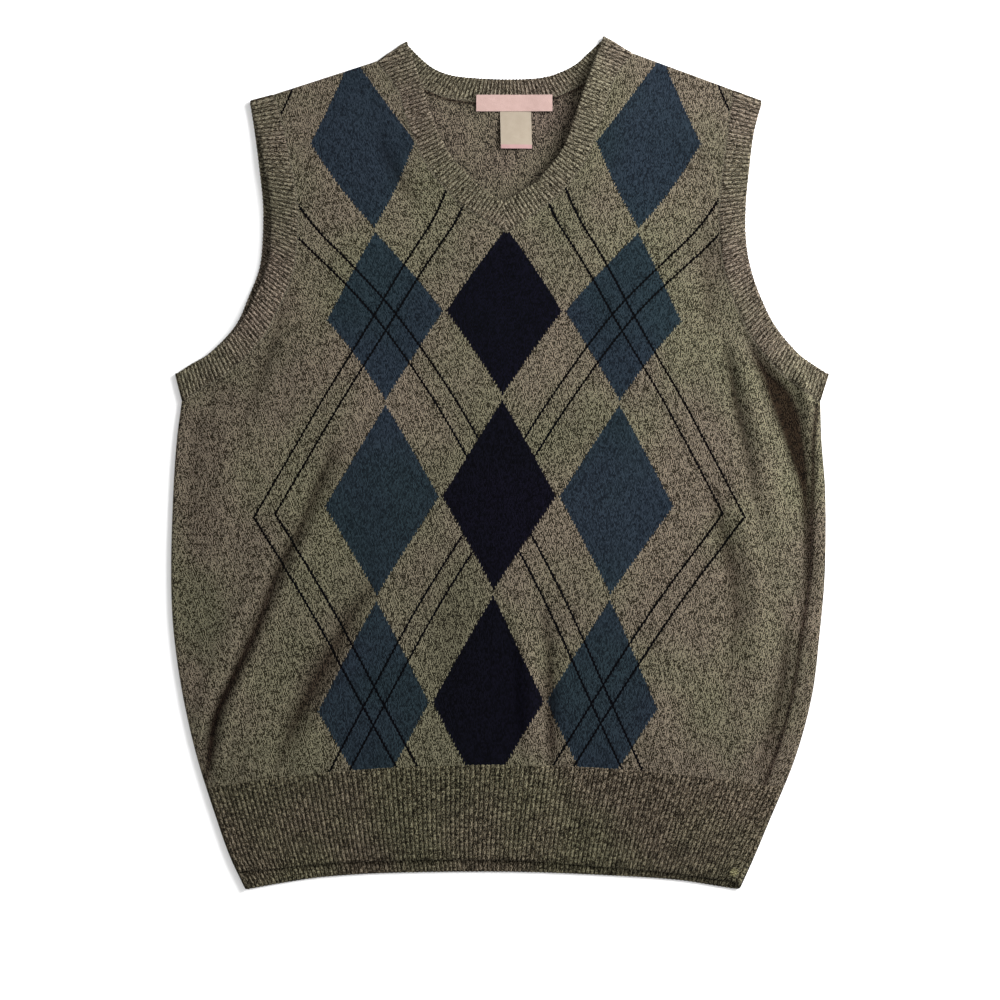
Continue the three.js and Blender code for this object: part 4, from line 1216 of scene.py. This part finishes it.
def build_rib_tree():
    build, given, result, identifiers = geometry_group("raise ribs", [
        ("Rib Depth", "NodeSocketFloat", RIB_DEPTH * MM),
        ("Crest Width", "NodeSocketFloat", CREST_WIDTH),
        ("Material", "NodeSocketMaterial", None),
    ])
    turn = build.times(named_value(build, "rib_at"), 2 * np.pi)
    wave = build.times_plus(build.math("COSINE", turn), 0.5, 0.5)
    crest = build.math("POWER", wave, given["Crest Width"])
    share = build.times(crest, named_value(build, "rib_mask"))
    height = build.times(share, given["Rib Depth"])
    scale = build.node("ShaderNodeVectorMath", operation="SCALE")
    build.feed(scale.inputs[0], build.node("GeometryNodeInputNormal").outputs[0])
    build.feed(scale.inputs["Scale"], height)
    move = build.node("GeometryNodeSetPosition")
    build.feed(move.inputs["Geometry"], given["Geometry"])
    build.feed(move.inputs["Offset"], scale.outputs[0])
    end_tree(build, move.outputs[0], given, result)
    return build.tree, identifiers


RIB_TREE, RIB_INPUTS = build_rib_tree()


def run_tree(obj, tree, identifiers, **values):
    """Runs a tree on an object, with its inputs set by identifier first."""
    modifier = obj.modifiers.new(tree.name, "NODES")
    modifier.node_group = tree
    for name, value in values.items():
        modifier[identifiers[name.replace("_", " ")]] = value
    apply_modifiers(obj)


print(RIB_TREE.name, "has the inputs", list(RIB_INPUTS))

# %% Tubes with rounded edges, from the middle of a band
POINTS_PER_RIB = 8
RIM_STEPS = 4


def surface_frames(grid):
    """Normals and directions across for a grid of points: rows along, columns across."""
    along = np.gradient(grid, axis=0)
    across = np.gradient(grid, axis=1)
    across /= np.linalg.norm(across, axis=2, keepdims=True)
    normal = np.cross(across, along)
    normal /= np.linalg.norm(normal, axis=2, keepdims=True)
    return normal, across


def band_tube(name, grid, rib_at, masks, flip):
    """A closed flat tube round a grid. masks give the rib's share on top, rim and underside."""
    normal, across = surface_frames(grid)
    if flip:
        normal = -normal
    half = WALL / 2
    rows, columns = grid.shape[:2]
    top_mask, rim_mask, under_mask = masks
    width = np.linalg.norm(np.diff(grid, axis=1), axis=2).mean(axis=0)
    place = np.concatenate([[0], np.cumsum(width)]) / COURSE_HEIGHT
    loop = []

    def add(column, angle, mask, run):
        outward = normal[:, column] * np.cos(angle) + across[:, column] * np.sin(angle)
        loop.append((grid[:, column] + outward * half, mask, run, rib_at[:, column]))

    rim_angles = np.linspace(0, np.pi, RIM_STEPS + 1)[1:-1]
    for column in range(columns):
        add(column, 0.0, top_mask, place[column])
    for angle in rim_angles:
        add(-1, angle, rim_mask, place[-1] + half * angle / COURSE_HEIGHT)
    for column in range(columns - 1, -1, -1):
        add(column, np.pi, under_mask, 2 * place[-1] + half * np.pi / COURSE_HEIGHT - place[column])
    for angle in rim_angles:
        no_ribs = 0 * top_mask
        add(0, np.pi + angle, no_ribs, loop[-1][2] + half * angle / COURSE_HEIGHT)
    first_point, first_mask, _, first_rib = loop[0]
    loop.append((first_point, first_mask, loop[-1][2] + 1, first_rib))
    points, mask, run, ribs = (np.array(part) for part in zip(*loop))
    stitches = np.stack([2 * ribs.T + 0.5, np.repeat(run[None, :], rows, axis=0)], axis=-1)
    faces = grid_faces(rows, len(loop))
    obj = new_mesh_object(name, points.transpose(1, 0, 2).reshape(-1, 3),
                          faces if flip else faces[:, ::-1], stitches.reshape(-1, 2),
                          {"rib_at": ribs.T, "rib_mask": mask.T})
    merge_close(obj)
    close_ends(obj)
    return obj


def close_ends(obj):
    """Fills the tube's two open ends and turns every face outwards."""
    bm = bmesh.new()
    bm.from_mesh(obj.data)
    open_edges = [edge for edge in bm.edges if edge.is_boundary]
    bmesh.ops.holes_fill(bm, edges=open_edges, sides=0)
    bmesh.ops.recalc_face_normals(bm, faces=bm.faces)
    bm.to_mesh(obj.data)
    bm.free()


def raise_ribs(obj, material=RIB_KNIT):
    obj.data.polygons.foreach_set("use_smooth", np.ones(len(obj.data.polygons), bool))
    run_tree(obj, RIB_TREE, RIB_INPUTS, Rib_Depth=RIB_DEPTH * MM, Material=material)
    shade_smooth(obj, 70)
    return obj


print("points round a band's rim:", RIM_STEPS, "and along each rib:", POINTS_PER_RIB)

# %% [markdown]
# ## Neckband and armbands
# Each band runs between its seam and its open edge. Its front stretch starts behind the
# shoulder, folds over it and follows the front's height. Its back stretch lies flat on the
# floor, with its ribs on the upper side only, because the underside rests flat. The ribs of the
# neckband's front stay square to its open edge, so the two stretches meet in a mitre at the V.

# %% Make the neckband and the armbands
BAND_RIB_PITCH = 3.4
NECK_RIB_PITCH = 3.1
BAND_COLUMNS = 10
NECK_COLUMNS = 28
MITRE_REACH = 40.0
MITRE_STEP = 0.05
EDGE_STEPS = 2400
ROUGH_STEPS = 60
FADE_STATIONS = 3
UNDERARM_STATIONS = 4
RIM_RIBS = {"front": 0.6, "back": 0.5}
UNDER_RIBS = 0.45
RIM = WALL / 2
SEAM_INSET = RIM + 0.1


def ribs_along(grid, pitch):
    """Which rib each point is in, for a whole number of ribs along the band's middle."""
    run = run_along(grid[:, grid.shape[1] // 2])
    ribs = run / run[-1] * round(run[-1] / pitch)
    return np.repeat(ribs[:, None], grid.shape[1], axis=1)


def ribs_square_to(edge, grid, pitch):
    """Ribs that stay square to the open edge, straight on past its end to the mitre."""
    step = (edge[-1] - edge[-2]) / np.linalg.norm(edge[-1] - edge[-2])
    beyond = edge[-1] + step * np.arange(MITRE_STEP, MITRE_REACH, MITRE_STEP)[:, None]
    dense = np.vstack([even_line(edge, EDGE_STEPS), beyond])
    run = run_along(dense)
    columns = []
    for column in range(grid.shape[1]):
        gone = grid[:, column, None, :2] - dense[None]
        columns.append(run[np.argmin((gone**2).sum(axis=2), axis=1)])
    return np.stack(columns, axis=1) / pitch


def band_grid(seam, edge, lift, columns=BAND_COLUMNS):
    """The middle of a band's cloth, from its seam to its open edge, at the height lift gives."""
    width = np.linalg.norm(edge - seam, axis=1)[:, None, None]
    share = np.linspace(0, 1, columns + 1)[None, :, None]
    share = mix(SEAM_INSET / width, 1 - RIM / width, share)
    flat = mix(seam[:, None, :], edge[:, None, :], share)
    height = lift(flat[..., 0], flat[..., 1])
    return np.concatenate([flat, height[..., None]], axis=-1)


def band_stations(line, pitch):
    """How many steps a band needs for a whole number of ribs along the line."""
    return round(run_along(line)[-1] / pitch) * POINTS_PER_RIB


def folded_start(grid):
    """The band with its fold over the shoulder before it."""
    rows = over_shoulder(grid[0])
    return np.concatenate([np.array(rows[::-1]), grid], axis=0)


def front_masks(fade):
    """The share of a rib's height on the top, the rim and the underside of a front piece."""
    return fade, RIM_RIBS["front"] * fade, UNDER_RIBS * fade


def front_fade(grid):
    """Ribs that start after the fold over the shoulder."""
    return ease((np.arange(len(grid)) - FOLD_STEPS / 2) / FADE_STATIONS)


def front_neckband(side):
    count = band_stations(neck_lines(side, ROUGH_STEPS)[1], NECK_RIB_PITCH)
    edge, seam = neck_lines(side, count)
    flat = band_grid(seam, edge, front_height, NECK_COLUMNS)
    square = ribs_square_to(edge, flat, NECK_RIB_PITCH)
    grid = folded_start(flat)
    steps = np.linalg.norm(np.diff(grid[:len(grid) - len(flat) + 1], axis=0), axis=2)
    behind = steps[::-1].cumsum(axis=0)[::-1] / NECK_RIB_PITCH
    rib_at = np.concatenate([square[:1] - behind, square])
    return raise_ribs(band_tube(f"neckband_front_{side}_rib", grid, rib_at,
                                front_masks(front_fade(grid)), flip=side == "left"))


def front_armband(side):
    count = band_stations(armhole_lines(side, "front", ROUGH_STEPS)[1], BAND_RIB_PITCH)
    edge, seam = armhole_lines(side, "front", count)
    flat = band_grid(seam, edge, front_height)
    flat[-1, :, 0] -= SIGN[side] * SEAM_RUN
    grid = folded_start(flat)
    return raise_ribs(band_tube(f"armband_{side}_front_rib", grid, ribs_along(grid, BAND_RIB_PITCH),
                                front_masks(front_fade(grid)), flip=side == "right"))


def back_masks(fade):
    return fade, RIM_RIBS["back"] * fade, 0 * fade


def back_armband(side):
    count = band_stations(armhole_lines(side, "back", ROUGH_STEPS)[1], BAND_RIB_PITCH)
    edge, seam = armhole_lines(side, "back", count)
    grid = band_grid(seam, edge, back_height)
    grid[0, :, 1] -= SEAM_RUN
    grid = np.concatenate([grid, np.array(round_side(grid[-1], side))], axis=0)
    place = np.arange(len(grid))
    end = ease((place - count + UNDERARM_STATIONS) / UNDERARM_STATIONS)
    fade = (1 - end) * ease(place / FADE_STATIONS)
    return raise_ribs(band_tube(f"armband_{side}_back_rib", grid, ribs_along(grid, BAND_RIB_PITCH),
                                back_masks(fade), flip=side == "right"))


def back_neckband():
    count = band_stations(np.array(BACK_NECK_SEAM), NECK_RIB_PITCH)
    seam, edge = even_line(BACK_NECK_SEAM, count), even_line(BACK_NECK_EDGE, count)
    grid = band_grid(seam, edge, back_height)
    grid[[0, -1], :, 1] -= SEAM_RUN
    place = np.arange(len(grid))
    fade = ease(place / FADE_STATIONS) * ease((place[-1] - place) / FADE_STATIONS)
    return raise_ribs(band_tube("neckband_back_rib", grid, ribs_along(grid, NECK_RIB_PITCH),
                                back_masks(fade), flip=True))


bands = {}
for side in ("left", "right"):
    bands[f"neckband_front_{side}"] = front_neckband(side)
    bands[f"armband_{side}_front"] = front_armband(side)
    bands[f"armband_{side}_back"] = back_armband(side)
bands["neckband_back"] = back_neckband()
for name, obj in bands.items():
    print(name, count_triangles(obj), "triangles")

# %% [markdown]
# ## Hem ribs
# The hem is the widest rib. The front one ends a little above the back one, so a strip of the
# back's inside shows below it. The back one rolls round the sides with its panel, and the corner
# of its right lap is pulled up and rounded.

# %% Make the hem ribs
HEM_RIB_PITCH = 3.7
HEM_ROWS = 24
CORNER_RISE = 10.0
FRONT_HEM_WIDTH = 420
BACK_HEM_WIDTH = 428
FRONT_HEM_RIBS = round(FRONT_HEM_WIDTH / HEM_RIB_PITCH)
BACK_HEM_RIBS = round(BACK_HEM_WIDTH / HEM_RIB_PITCH)
POINTS_PER_BACK_RIB = 6
HEM_FADE_STATIONS = 4
LAP_FADE_STATIONS = 2


def hem_line(layer, across):
    x = mix(HEM_EDGES[0]["x"], HEM_EDGES[-1]["x"], across)
    return read_table(HEM_EDGES, "x", layer, x)


def hem_grid(top_y, bottom_y, place_at):
    """Rows of points from the hem seam down to the open edge, one column for each share across."""
    columns = []
    for share in np.linspace(0, 1, HEM_ROWS + 1):
        columns.append(place_at(mix(top_y, bottom_y, share)))
    return np.stack(columns, axis=1)


def front_hem():
    count = FRONT_HEM_RIBS * POINTS_PER_RIB
    across = np.linspace(0, 1, count + 1)
    seam_ends = [(float(side_seam(side, y)[0]), y) for side, y in zip(SIGN, body_ends(0, 1))]
    middle = (np.mean([x for x, y in seam_ends]), HEM_SEAM_MIDDLE_Y)

    def place_at(y):
        x = mix(side_seam("left", y)[0], side_seam("right", y)[0], across)
        return np.column_stack([x, y, front_height(x, y)])

    grid = hem_grid(bent_row(*seam_ends, middle, count)[:, 1], hem_line("front", across), place_at)
    rib_at = np.repeat(across[:, None] * FRONT_HEM_RIBS, HEM_ROWS + 1, axis=1)
    obj = band_tube("hem_rib_front_knit", grid, rib_at, front_masks(np.ones(count + 1)), flip=False)
    return raise_ribs(obj, HEM_KNIT)


def back_hem():
    count = BACK_HEM_RIBS * POINTS_PER_BACK_RIB
    across = np.linspace(0, 1, count + 1)
    ends = body_ends(0, 1)
    top_x = mix(flat_end_x("left", ends[0]), flat_end_x("right", ends[1]), across)

    def place_at(y):
        x = mix(flat_end_x("left", y), flat_end_x("right", y), across)
        return on_back(np.column_stack([x, y]))

    flat = hem_grid(hem_seam_y(top_x), hem_line("back", across), place_at)
    left = np.array(round_side(flat[0], "left"))[::-1]
    right = np.array(round_side(flat[-1], "right"))
    inward = np.linspace(0, 1, len(right))[:, None]
    downward = np.linspace(0, 1, HEM_ROWS + 1)[None, :]
    right[..., 1] += CORNER_RISE * ease(inward) * downward**3
    grid = np.concatenate([left, flat, right], axis=0)
    place = np.arange(len(grid))
    inner = ease((place - len(left) - 2) / HEM_FADE_STATIONS)
    inner *= ease((len(left) + count - 2 - place) / HEM_FADE_STATIONS)
    lap = ease((place - (len(grid) - LAP_STEPS)) / LAP_FADE_STATIONS)
    obj = band_tube("hem_rib_back_knit", grid, ribs_along(grid, HEM_RIB_PITCH),
                    (inner, RIM_RIBS["back"] * inner, lap), flip=False)
    return raise_ribs(obj, HEM_KNIT)


bands["hem_rib_front"] = front_hem()
bands["hem_rib_back"] = back_hem()
for name in ("hem_rib_front", "hem_rib_back"):
    print(name, count_triangles(bands[name]), "triangles")

# %% [markdown]
# ## Linking stitches
# A knitter links each band to its panel, loop by loop, and that leaves a fine chain along the
# seam. A Geometry Nodes tree lays the chain: it takes a line, spaces points along it, sets a
# pair of slanted yarn loops on each point and turns them with the line. The same tree, with
# thicker loops on a small curl, makes the tuft where the yarn was darned in at the hem's corner.

# %% The tree that lays a chain of stitches
LOOPS_APART = 0.7
LOOP_REACH = 0.56
LOOP_FLATNESS = 0.8


def build_chain_tree():
    build, given, result, identifiers = geometry_group("chain of stitches", [
        ("Stitch Length", "NodeSocketFloat", 2.0 * MM),
        ("Loop Width", "NodeSocketFloat", 0.5 * MM),
        ("Slant", "NodeSocketFloat", 0.5),
        ("Material", "NodeSocketMaterial", None),
    ])
    curve = build.node("GeometryNodeMeshToCurve")
    build.feed(curve.inputs["Mesh"], given["Geometry"])
    spaced = build.node("GeometryNodeCurveToPoints", mode="LENGTH")
    build.feed(spaced.inputs["Curve"], curve.outputs[0])
    build.feed(spaced.inputs["Length"], given["Stitch Length"])
    ball = build.node("GeometryNodeMeshUVSphere")
    for name, value in (("Segments", 8), ("Rings", 6), ("Radius", 1.0)):
        ball.inputs[name].default_value = value
    gather = build.node("GeometryNodeJoinGeometry")
    for side in (1, -1):
        loop = build.node("GeometryNodeTransform")
        build.feed(loop.inputs["Geometry"], ball.outputs["Mesh"])
        build.feed(loop.inputs["Translation"], build.combine(
            0.0, build.times(given["Loop Width"], LOOPS_APART * side)))
        build.feed(loop.inputs["Rotation"], build.combine(
            0.0, 0.0, build.times(given["Slant"], float(side))))
        build.feed(loop.inputs["Scale"], build.combine(
            build.times(given["Stitch Length"], LOOP_REACH), given["Loop Width"],
            build.times(given["Loop Width"], LOOP_FLATNESS)))
        build.feed(gather.inputs[0], loop.outputs[0])
    turn = build.node("FunctionNodeAlignRotationToVector", axis="X", pivot_axis="Z")
    build.feed(turn.inputs["Vector"], spaced.outputs["Tangent"])
    place = build.node("GeometryNodeInstanceOnPoints")
    build.feed(place.inputs["Points"], spaced.outputs["Points"])
    build.feed(place.inputs["Instance"], gather.outputs[0])
    build.feed(place.inputs["Rotation"], turn.outputs[0])
    end_tree(build, place.outputs[0], given, result)
    return build.tree, identifiers


CHAIN_TREE, CHAIN_INPUTS = build_chain_tree()
print(CHAIN_TREE.name, "has the inputs", list(CHAIN_INPUTS))

# %% A plain yarn material for the chains
PLY_SCALE = 900.0
HAIR_SCALE = 3000.0


def yarn_material(name, light, dark):
    material, build, shader = new_material(name, sheen=0.03)
    in_room = build.node("ShaderNodeTexCoord").outputs["Object"]
    ply = build.ramp(build.noise(in_room, PLY_SCALE), 0.42, 0.58)
    build.feed(shader.inputs["Base Color"], build.mix_colour(ply, dark, light))
    build.bump(shader, build.noise(in_room, HAIR_SCALE), 0.4, 0.1)
    return material


SEAM_YARN = yarn_material("seam yarn", MARL_LIGHT, MARL_DARK)
KNOT_YARN = yarn_material("knot yarn", linear(118, 114, 86), linear(58, 54, 36))
print("yarns:", SEAM_YARN.name, "and", KNOT_YARN.name)

# %% Lay the chains along the seams
def chain_along(name, line, heights, length=2.0, width=0.42, material=SEAM_YARN):
    """A chain of loops on a line of x and y, at the given heights."""
    points = np.column_stack([line, np.broadcast_to(heights, len(line))])
    mesh = bpy.data.meshes.new(name)
    edges = [(i, i + 1) for i in range(len(points) - 1)]
    mesh.from_pydata((points * MM).tolist(), edges, [])
    obj = bpy.data.objects.new(name, mesh)
    bpy.context.collection.objects.link(obj)
    run_tree(obj, CHAIN_TREE, CHAIN_INPUTS, Stitch_Length=length * MM, Loop_Width=width * MM,
             Material=material)
    shade_smooth(obj, 180)
    return obj


CHAIN_RISE = WALL / 2 + 0.1
BACK_CHAIN_RISE = WALL / 2 - 0.05
NECK_CHAIN_POINTS = 160
ARM_CHAIN_POINTS = 200
KNOT = {"x": 186.4, "y": -328.0, "height": 7.5, "radius": 3.0, "points": 40, "turns": 1.8}

chains = []
for side in ("left", "right"):
    neck = neck_lines(side, NECK_CHAIN_POINTS)[1][4:-1]
    armhole = armhole_lines(side, "front", ARM_CHAIN_POINTS)[1][3:-3]
    lines = {f"neck_chain_{side}": neck, f"armhole_chain_{side}": armhole}
    for name, line in lines.items():
        chains.append(chain_along(name, line, front_height(line[:, 0], line[:, 1]) + CHAIN_RISE))
line = even_line(BACK_NECK_SEAM, NECK_CHAIN_POINTS)[6:-6]
chains.append(chain_along("neck_chain_back", line,
                          back_height(line[:, 0], line[:, 1]) + BACK_CHAIN_RISE))
turns = np.linspace(0, KNOT["turns"] * 2 * np.pi, KNOT["points"])
reach = KNOT["radius"] * np.linspace(1, 0.3, KNOT["points"])
curl = np.column_stack([KNOT["x"] + reach * np.cos(turns), KNOT["y"] + reach * np.sin(turns)])
chains.append(chain_along("hem_corner_knot", curl, KNOT["height"], length=1.9, width=0.62,
                          material=KNOT_YARN))
print("chains:", sum(count_triangles(chain) for chain in chains), "triangles")

# %% [markdown]
# ## Label and care tab
# A satin label is sewn over the back neck seam, with a cream care tab hanging below it. Both
# are plain. Satin is woven tape, so its material has fine threads both ways and a soft gloss.

# %% Tape materials
THREADS_PER_MM = 3.2
PICKS_PER_MM = 4.5
STRIPE_HEIGHT = 3.2
STAIN_SHADE = (0.90, 0.89, 0.88, 1)


def tape_material(name, base, stripe=None, roughness=0.42):
    material, build, shader = new_material(name, roughness, sheen=0.1, specular=0.12)
    place = build.node("ShaderNodeUVMap", uv_map="stitches").outputs[0]
    across, up, _ = build.separate(place)
    threads = build.math("SINE", build.times(across, 2 * np.pi * THREADS_PER_MM))
    picks = build.math("SINE", build.times(up, 2 * np.pi * PICKS_PER_MM))
    weave = build.times_plus(build.times(threads, picks), 0.5, 0.5)
    colour = build.mix_colour(weave, (*(0.90 * c for c in base[:3]), 1), base)
    if stripe:
        colour = build.mix_colour(build.math("LESS_THAN", up, STRIPE_HEIGHT), colour, stripe)
    stain = build.ramp(build.noise(place, 0.16, 3.0), 0.25, 0.8)
    build.feed(shader.inputs["Base Color"], build.shade(colour, stain, STAIN_SHADE, WHITE))
    build.bump(shader, weave, 0.35, 0.1)
    return material


PINK = linear(154, 130, 124)
CREAM = linear(133, 123, 109)
SATIN = tape_material("label satin", PINK)
TAPE = tape_material("care tape", CREAM, stripe=linear(140, 112, 110), roughness=0.6)
print("tapes:", SATIN.name, "and", TAPE.name)

# %% Make the label and the tab
LABEL_WALL = 0.7
LABEL = {"left": -19.1, "right": 41.7, "bottom": 280.2, "top": 293.4, "lean": 0.0}
LABEL_REST = {"bottom": 1.3, "top": RIB_DEPTH + 1.2}
LABEL_WAVE = {"height": 0.12, "turn": 9.0}
LABEL_END = {"lift": 1.2, "from": 0.6}
TAB = {"left": -0.2, "right": 24.6, "bottom": 250.4, "top": 281.5, "lean": 0.8}
TAB_REST = 0.65
TAB_LIFT = {"left": 2.8, "right": 0.6, "middle": 0.35}
TAPE_COLUMNS = 48
TAPE_ROWS = 24


def tape_sheet(name, size, height, material):
    """A sheet of tape on the back. height reads the share across and the share up."""
    u, v = np.meshgrid(np.linspace(0, 1, TAPE_COLUMNS + 1), np.linspace(0, 1, TAPE_ROWS + 1))
    x = mix(size["left"], size["right"], u) + size["lean"] * (1 - v)
    y = mix(size["bottom"], size["top"], v)
    z = back_height(x, y) + WALL / 2 + height(u, v)
    points = np.stack([x, y, z], axis=-1).reshape(-1, 3)
    stitches = np.column_stack([x.ravel() - size["left"], y.ravel() - size["bottom"]])
    obj = new_mesh_object(name, points, grid_faces(TAPE_ROWS + 1, TAPE_COLUMNS + 1), stitches)
    thicken(obj, [material], LABEL_WALL)
    return obj


def label_height(u, v):
    rest = mix(LABEL_REST["bottom"], LABEL_REST["top"], v)
    wave = LABEL_WAVE["height"] * np.sin(u * LABEL_WAVE["turn"]) * (1 - v)
    end = LABEL_END["lift"] * ease((u - LABEL_END["from"]) / (1 - LABEL_END["from"]))
    return rest + wave + end


def tab_height(u, v):
    lift = mix(TAB_LIFT["left"], TAB_LIFT["right"], u) + TAB_LIFT["middle"] * np.sin(np.pi * u)
    return TAB_REST + (1 - v) * lift


label = tape_sheet("neck_label_satin", LABEL, label_height, SATIN)
tab = tape_sheet("care_tab_tape", TAB, tab_height, TAPE)
print("label", count_triangles(label), "triangles, tab", count_triangles(tab))

# %% [markdown]
# ## Bind the pieces to the frame
# Each piece stands for its solid, which is hidden, and rides on the one body. The table lists what
# cloth each piece is, the size it was cut to in metres, its area where it isn't a plain strip, and
# what it lies on, but the loop below hands none of these on.

NECK_STRETCH = (0.020, 0.170)
ARM_STRETCH = (0.021, 0.262)
SHEETS = {
    "front_panel": ("argyle_knit", (0.512, 0.587), 0.228, ["back_panel"]),
    "back_panel": ("marl_knit", (0.546, 0.584), 0.2506, []),
    "neckband_front_left": ("rib_knit", NECK_STRETCH, None, ["back_panel"]),
    "neckband_front_right": ("rib_knit", NECK_STRETCH, None, ["back_panel"]),
    "neckband_back": ("rib_knit", (0.019, 0.190), None, []),
    "armband_left_front": ("rib_knit", ARM_STRETCH, None, ["armband_left_back"]),
    "armband_left_back": ("rib_knit", ARM_STRETCH, None, []),
    "armband_right_front": ("rib_knit", ARM_STRETCH, None, ["armband_right_back"]),
    "armband_right_back": ("rib_knit", ARM_STRETCH, None, []),
    "hem_rib_front": ("rib_knit", (0.430, 0.078), None, ["hem_rib_back"]),
    "hem_rib_back": ("rib_knit", (0.448, 0.086), None, []),
    "neck_label": ("label_satin", (0.061, 0.0132), None, ["back_panel"]),
    "care_tab": ("care_tape", (0.025, 0.031), None, ["back_panel"]),
}
pieces = {"front_panel": front_panel, "back_panel": back_panel, "neck_label": label,
          "care_tab": tab, **bands}
for node, (slot, flat, area, rests_on) in SHEETS.items():
    piece = pieces[node]
    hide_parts(node)
    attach(piece, "root")
    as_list(rests_on)
for chain in chains:
    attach(chain, "root")
print("pieces declared:", len(SHEETS), "and", len(chains), "chains")

# %% [markdown]
# ## Floor, light and camera
# The photograph shows the vest cut out on white, seen from straight above, lit softly with a
# little more light from the upper right. A large pale floor, wide lamps and an even sky give
# that, and a small low lamp on the right lets the light fall off to the left.

# %% Floor
FLOOR_SIZE = 6.0
FLOOR_Z = -0.0002
FLOOR_PALENESS = 0.92


def make_floor():
    bpy.ops.mesh.primitive_plane_add(size=FLOOR_SIZE, location=(0, 0, FLOOR_Z))
    floor = bpy.context.object
    floor.name = "floor"
    material, _, shader = new_material("pale floor")
    shader.inputs["Base Color"].default_value = grey(FLOOR_PALENESS)
    floor.data.materials.append(material)
    floor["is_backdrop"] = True
    return floor


print("floor:", make_floor().name)

# %% Lamps and sky
LAMPS = [
    {"name": "key", "place": (1.08, 0.68, 0.86), "size": 1.0, "power": 58},
    {"name": "fill", "place": (-1.4, -0.6, 1.8), "size": 1.8, "power": 4},
    {"name": "low right", "place": (0.75, 0.50, 0.50), "size": 0.4, "power": 4,
     "aim": (0.2, 0.15, 0)},
]
SKY_STRENGTH = 0.75


def area_lamp(name, place, size, power, aim=(0, 0, 0)):
    data = bpy.data.lights.new(name, "AREA")
    data.shape = "DISK"
    data.size = size
    data.energy = power
    lamp = bpy.data.objects.new(name, data)
    lamp.location = place
    lamp.rotation_euler = (Vector(aim) - Vector(place)).to_track_quat("-Z", "Y").to_euler()
    bpy.context.collection.objects.link(lamp)


for lamp in LAMPS:
    area_lamp(**lamp)
scene = bpy.context.scene
scene.world = bpy.data.worlds.new("studio")
scene.world.use_nodes = True
sky = scene.world.node_tree.nodes["Background"].inputs
sky["Color"].default_value = WHITE
sky["Strength"].default_value = SKY_STRENGTH
scene.view_settings.view_transform = "Standard"
print("lamps:", len(bpy.data.lights))

# %% Camera
CAMERA_HEIGHT = 3.0
FRAME_WIDTH = 0.8
FRAME_MIDDLE = (-0.0002, -0.0304)
SENSOR_WIDTH = 36
camera_data = bpy.data.cameras.new("camera")
camera_data.sensor_width = SENSOR_WIDTH
camera_data.lens = SENSOR_WIDTH * CAMERA_HEIGHT / FRAME_WIDTH
camera = bpy.data.objects.new("camera", camera_data)
camera.location = (*FRAME_MIDDLE, CAMERA_HEIGHT)
bpy.context.collection.objects.link(camera)
scene.camera = camera
print("lens:", camera_data.lens, "mm")

# %% Measure the size and print it
visual_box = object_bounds()
[[list(map(float, corner)) for corner in box] for box in (cad_box, visual_box)]
print("solids' box:", cad_box)
print("visual box:", visual_box)
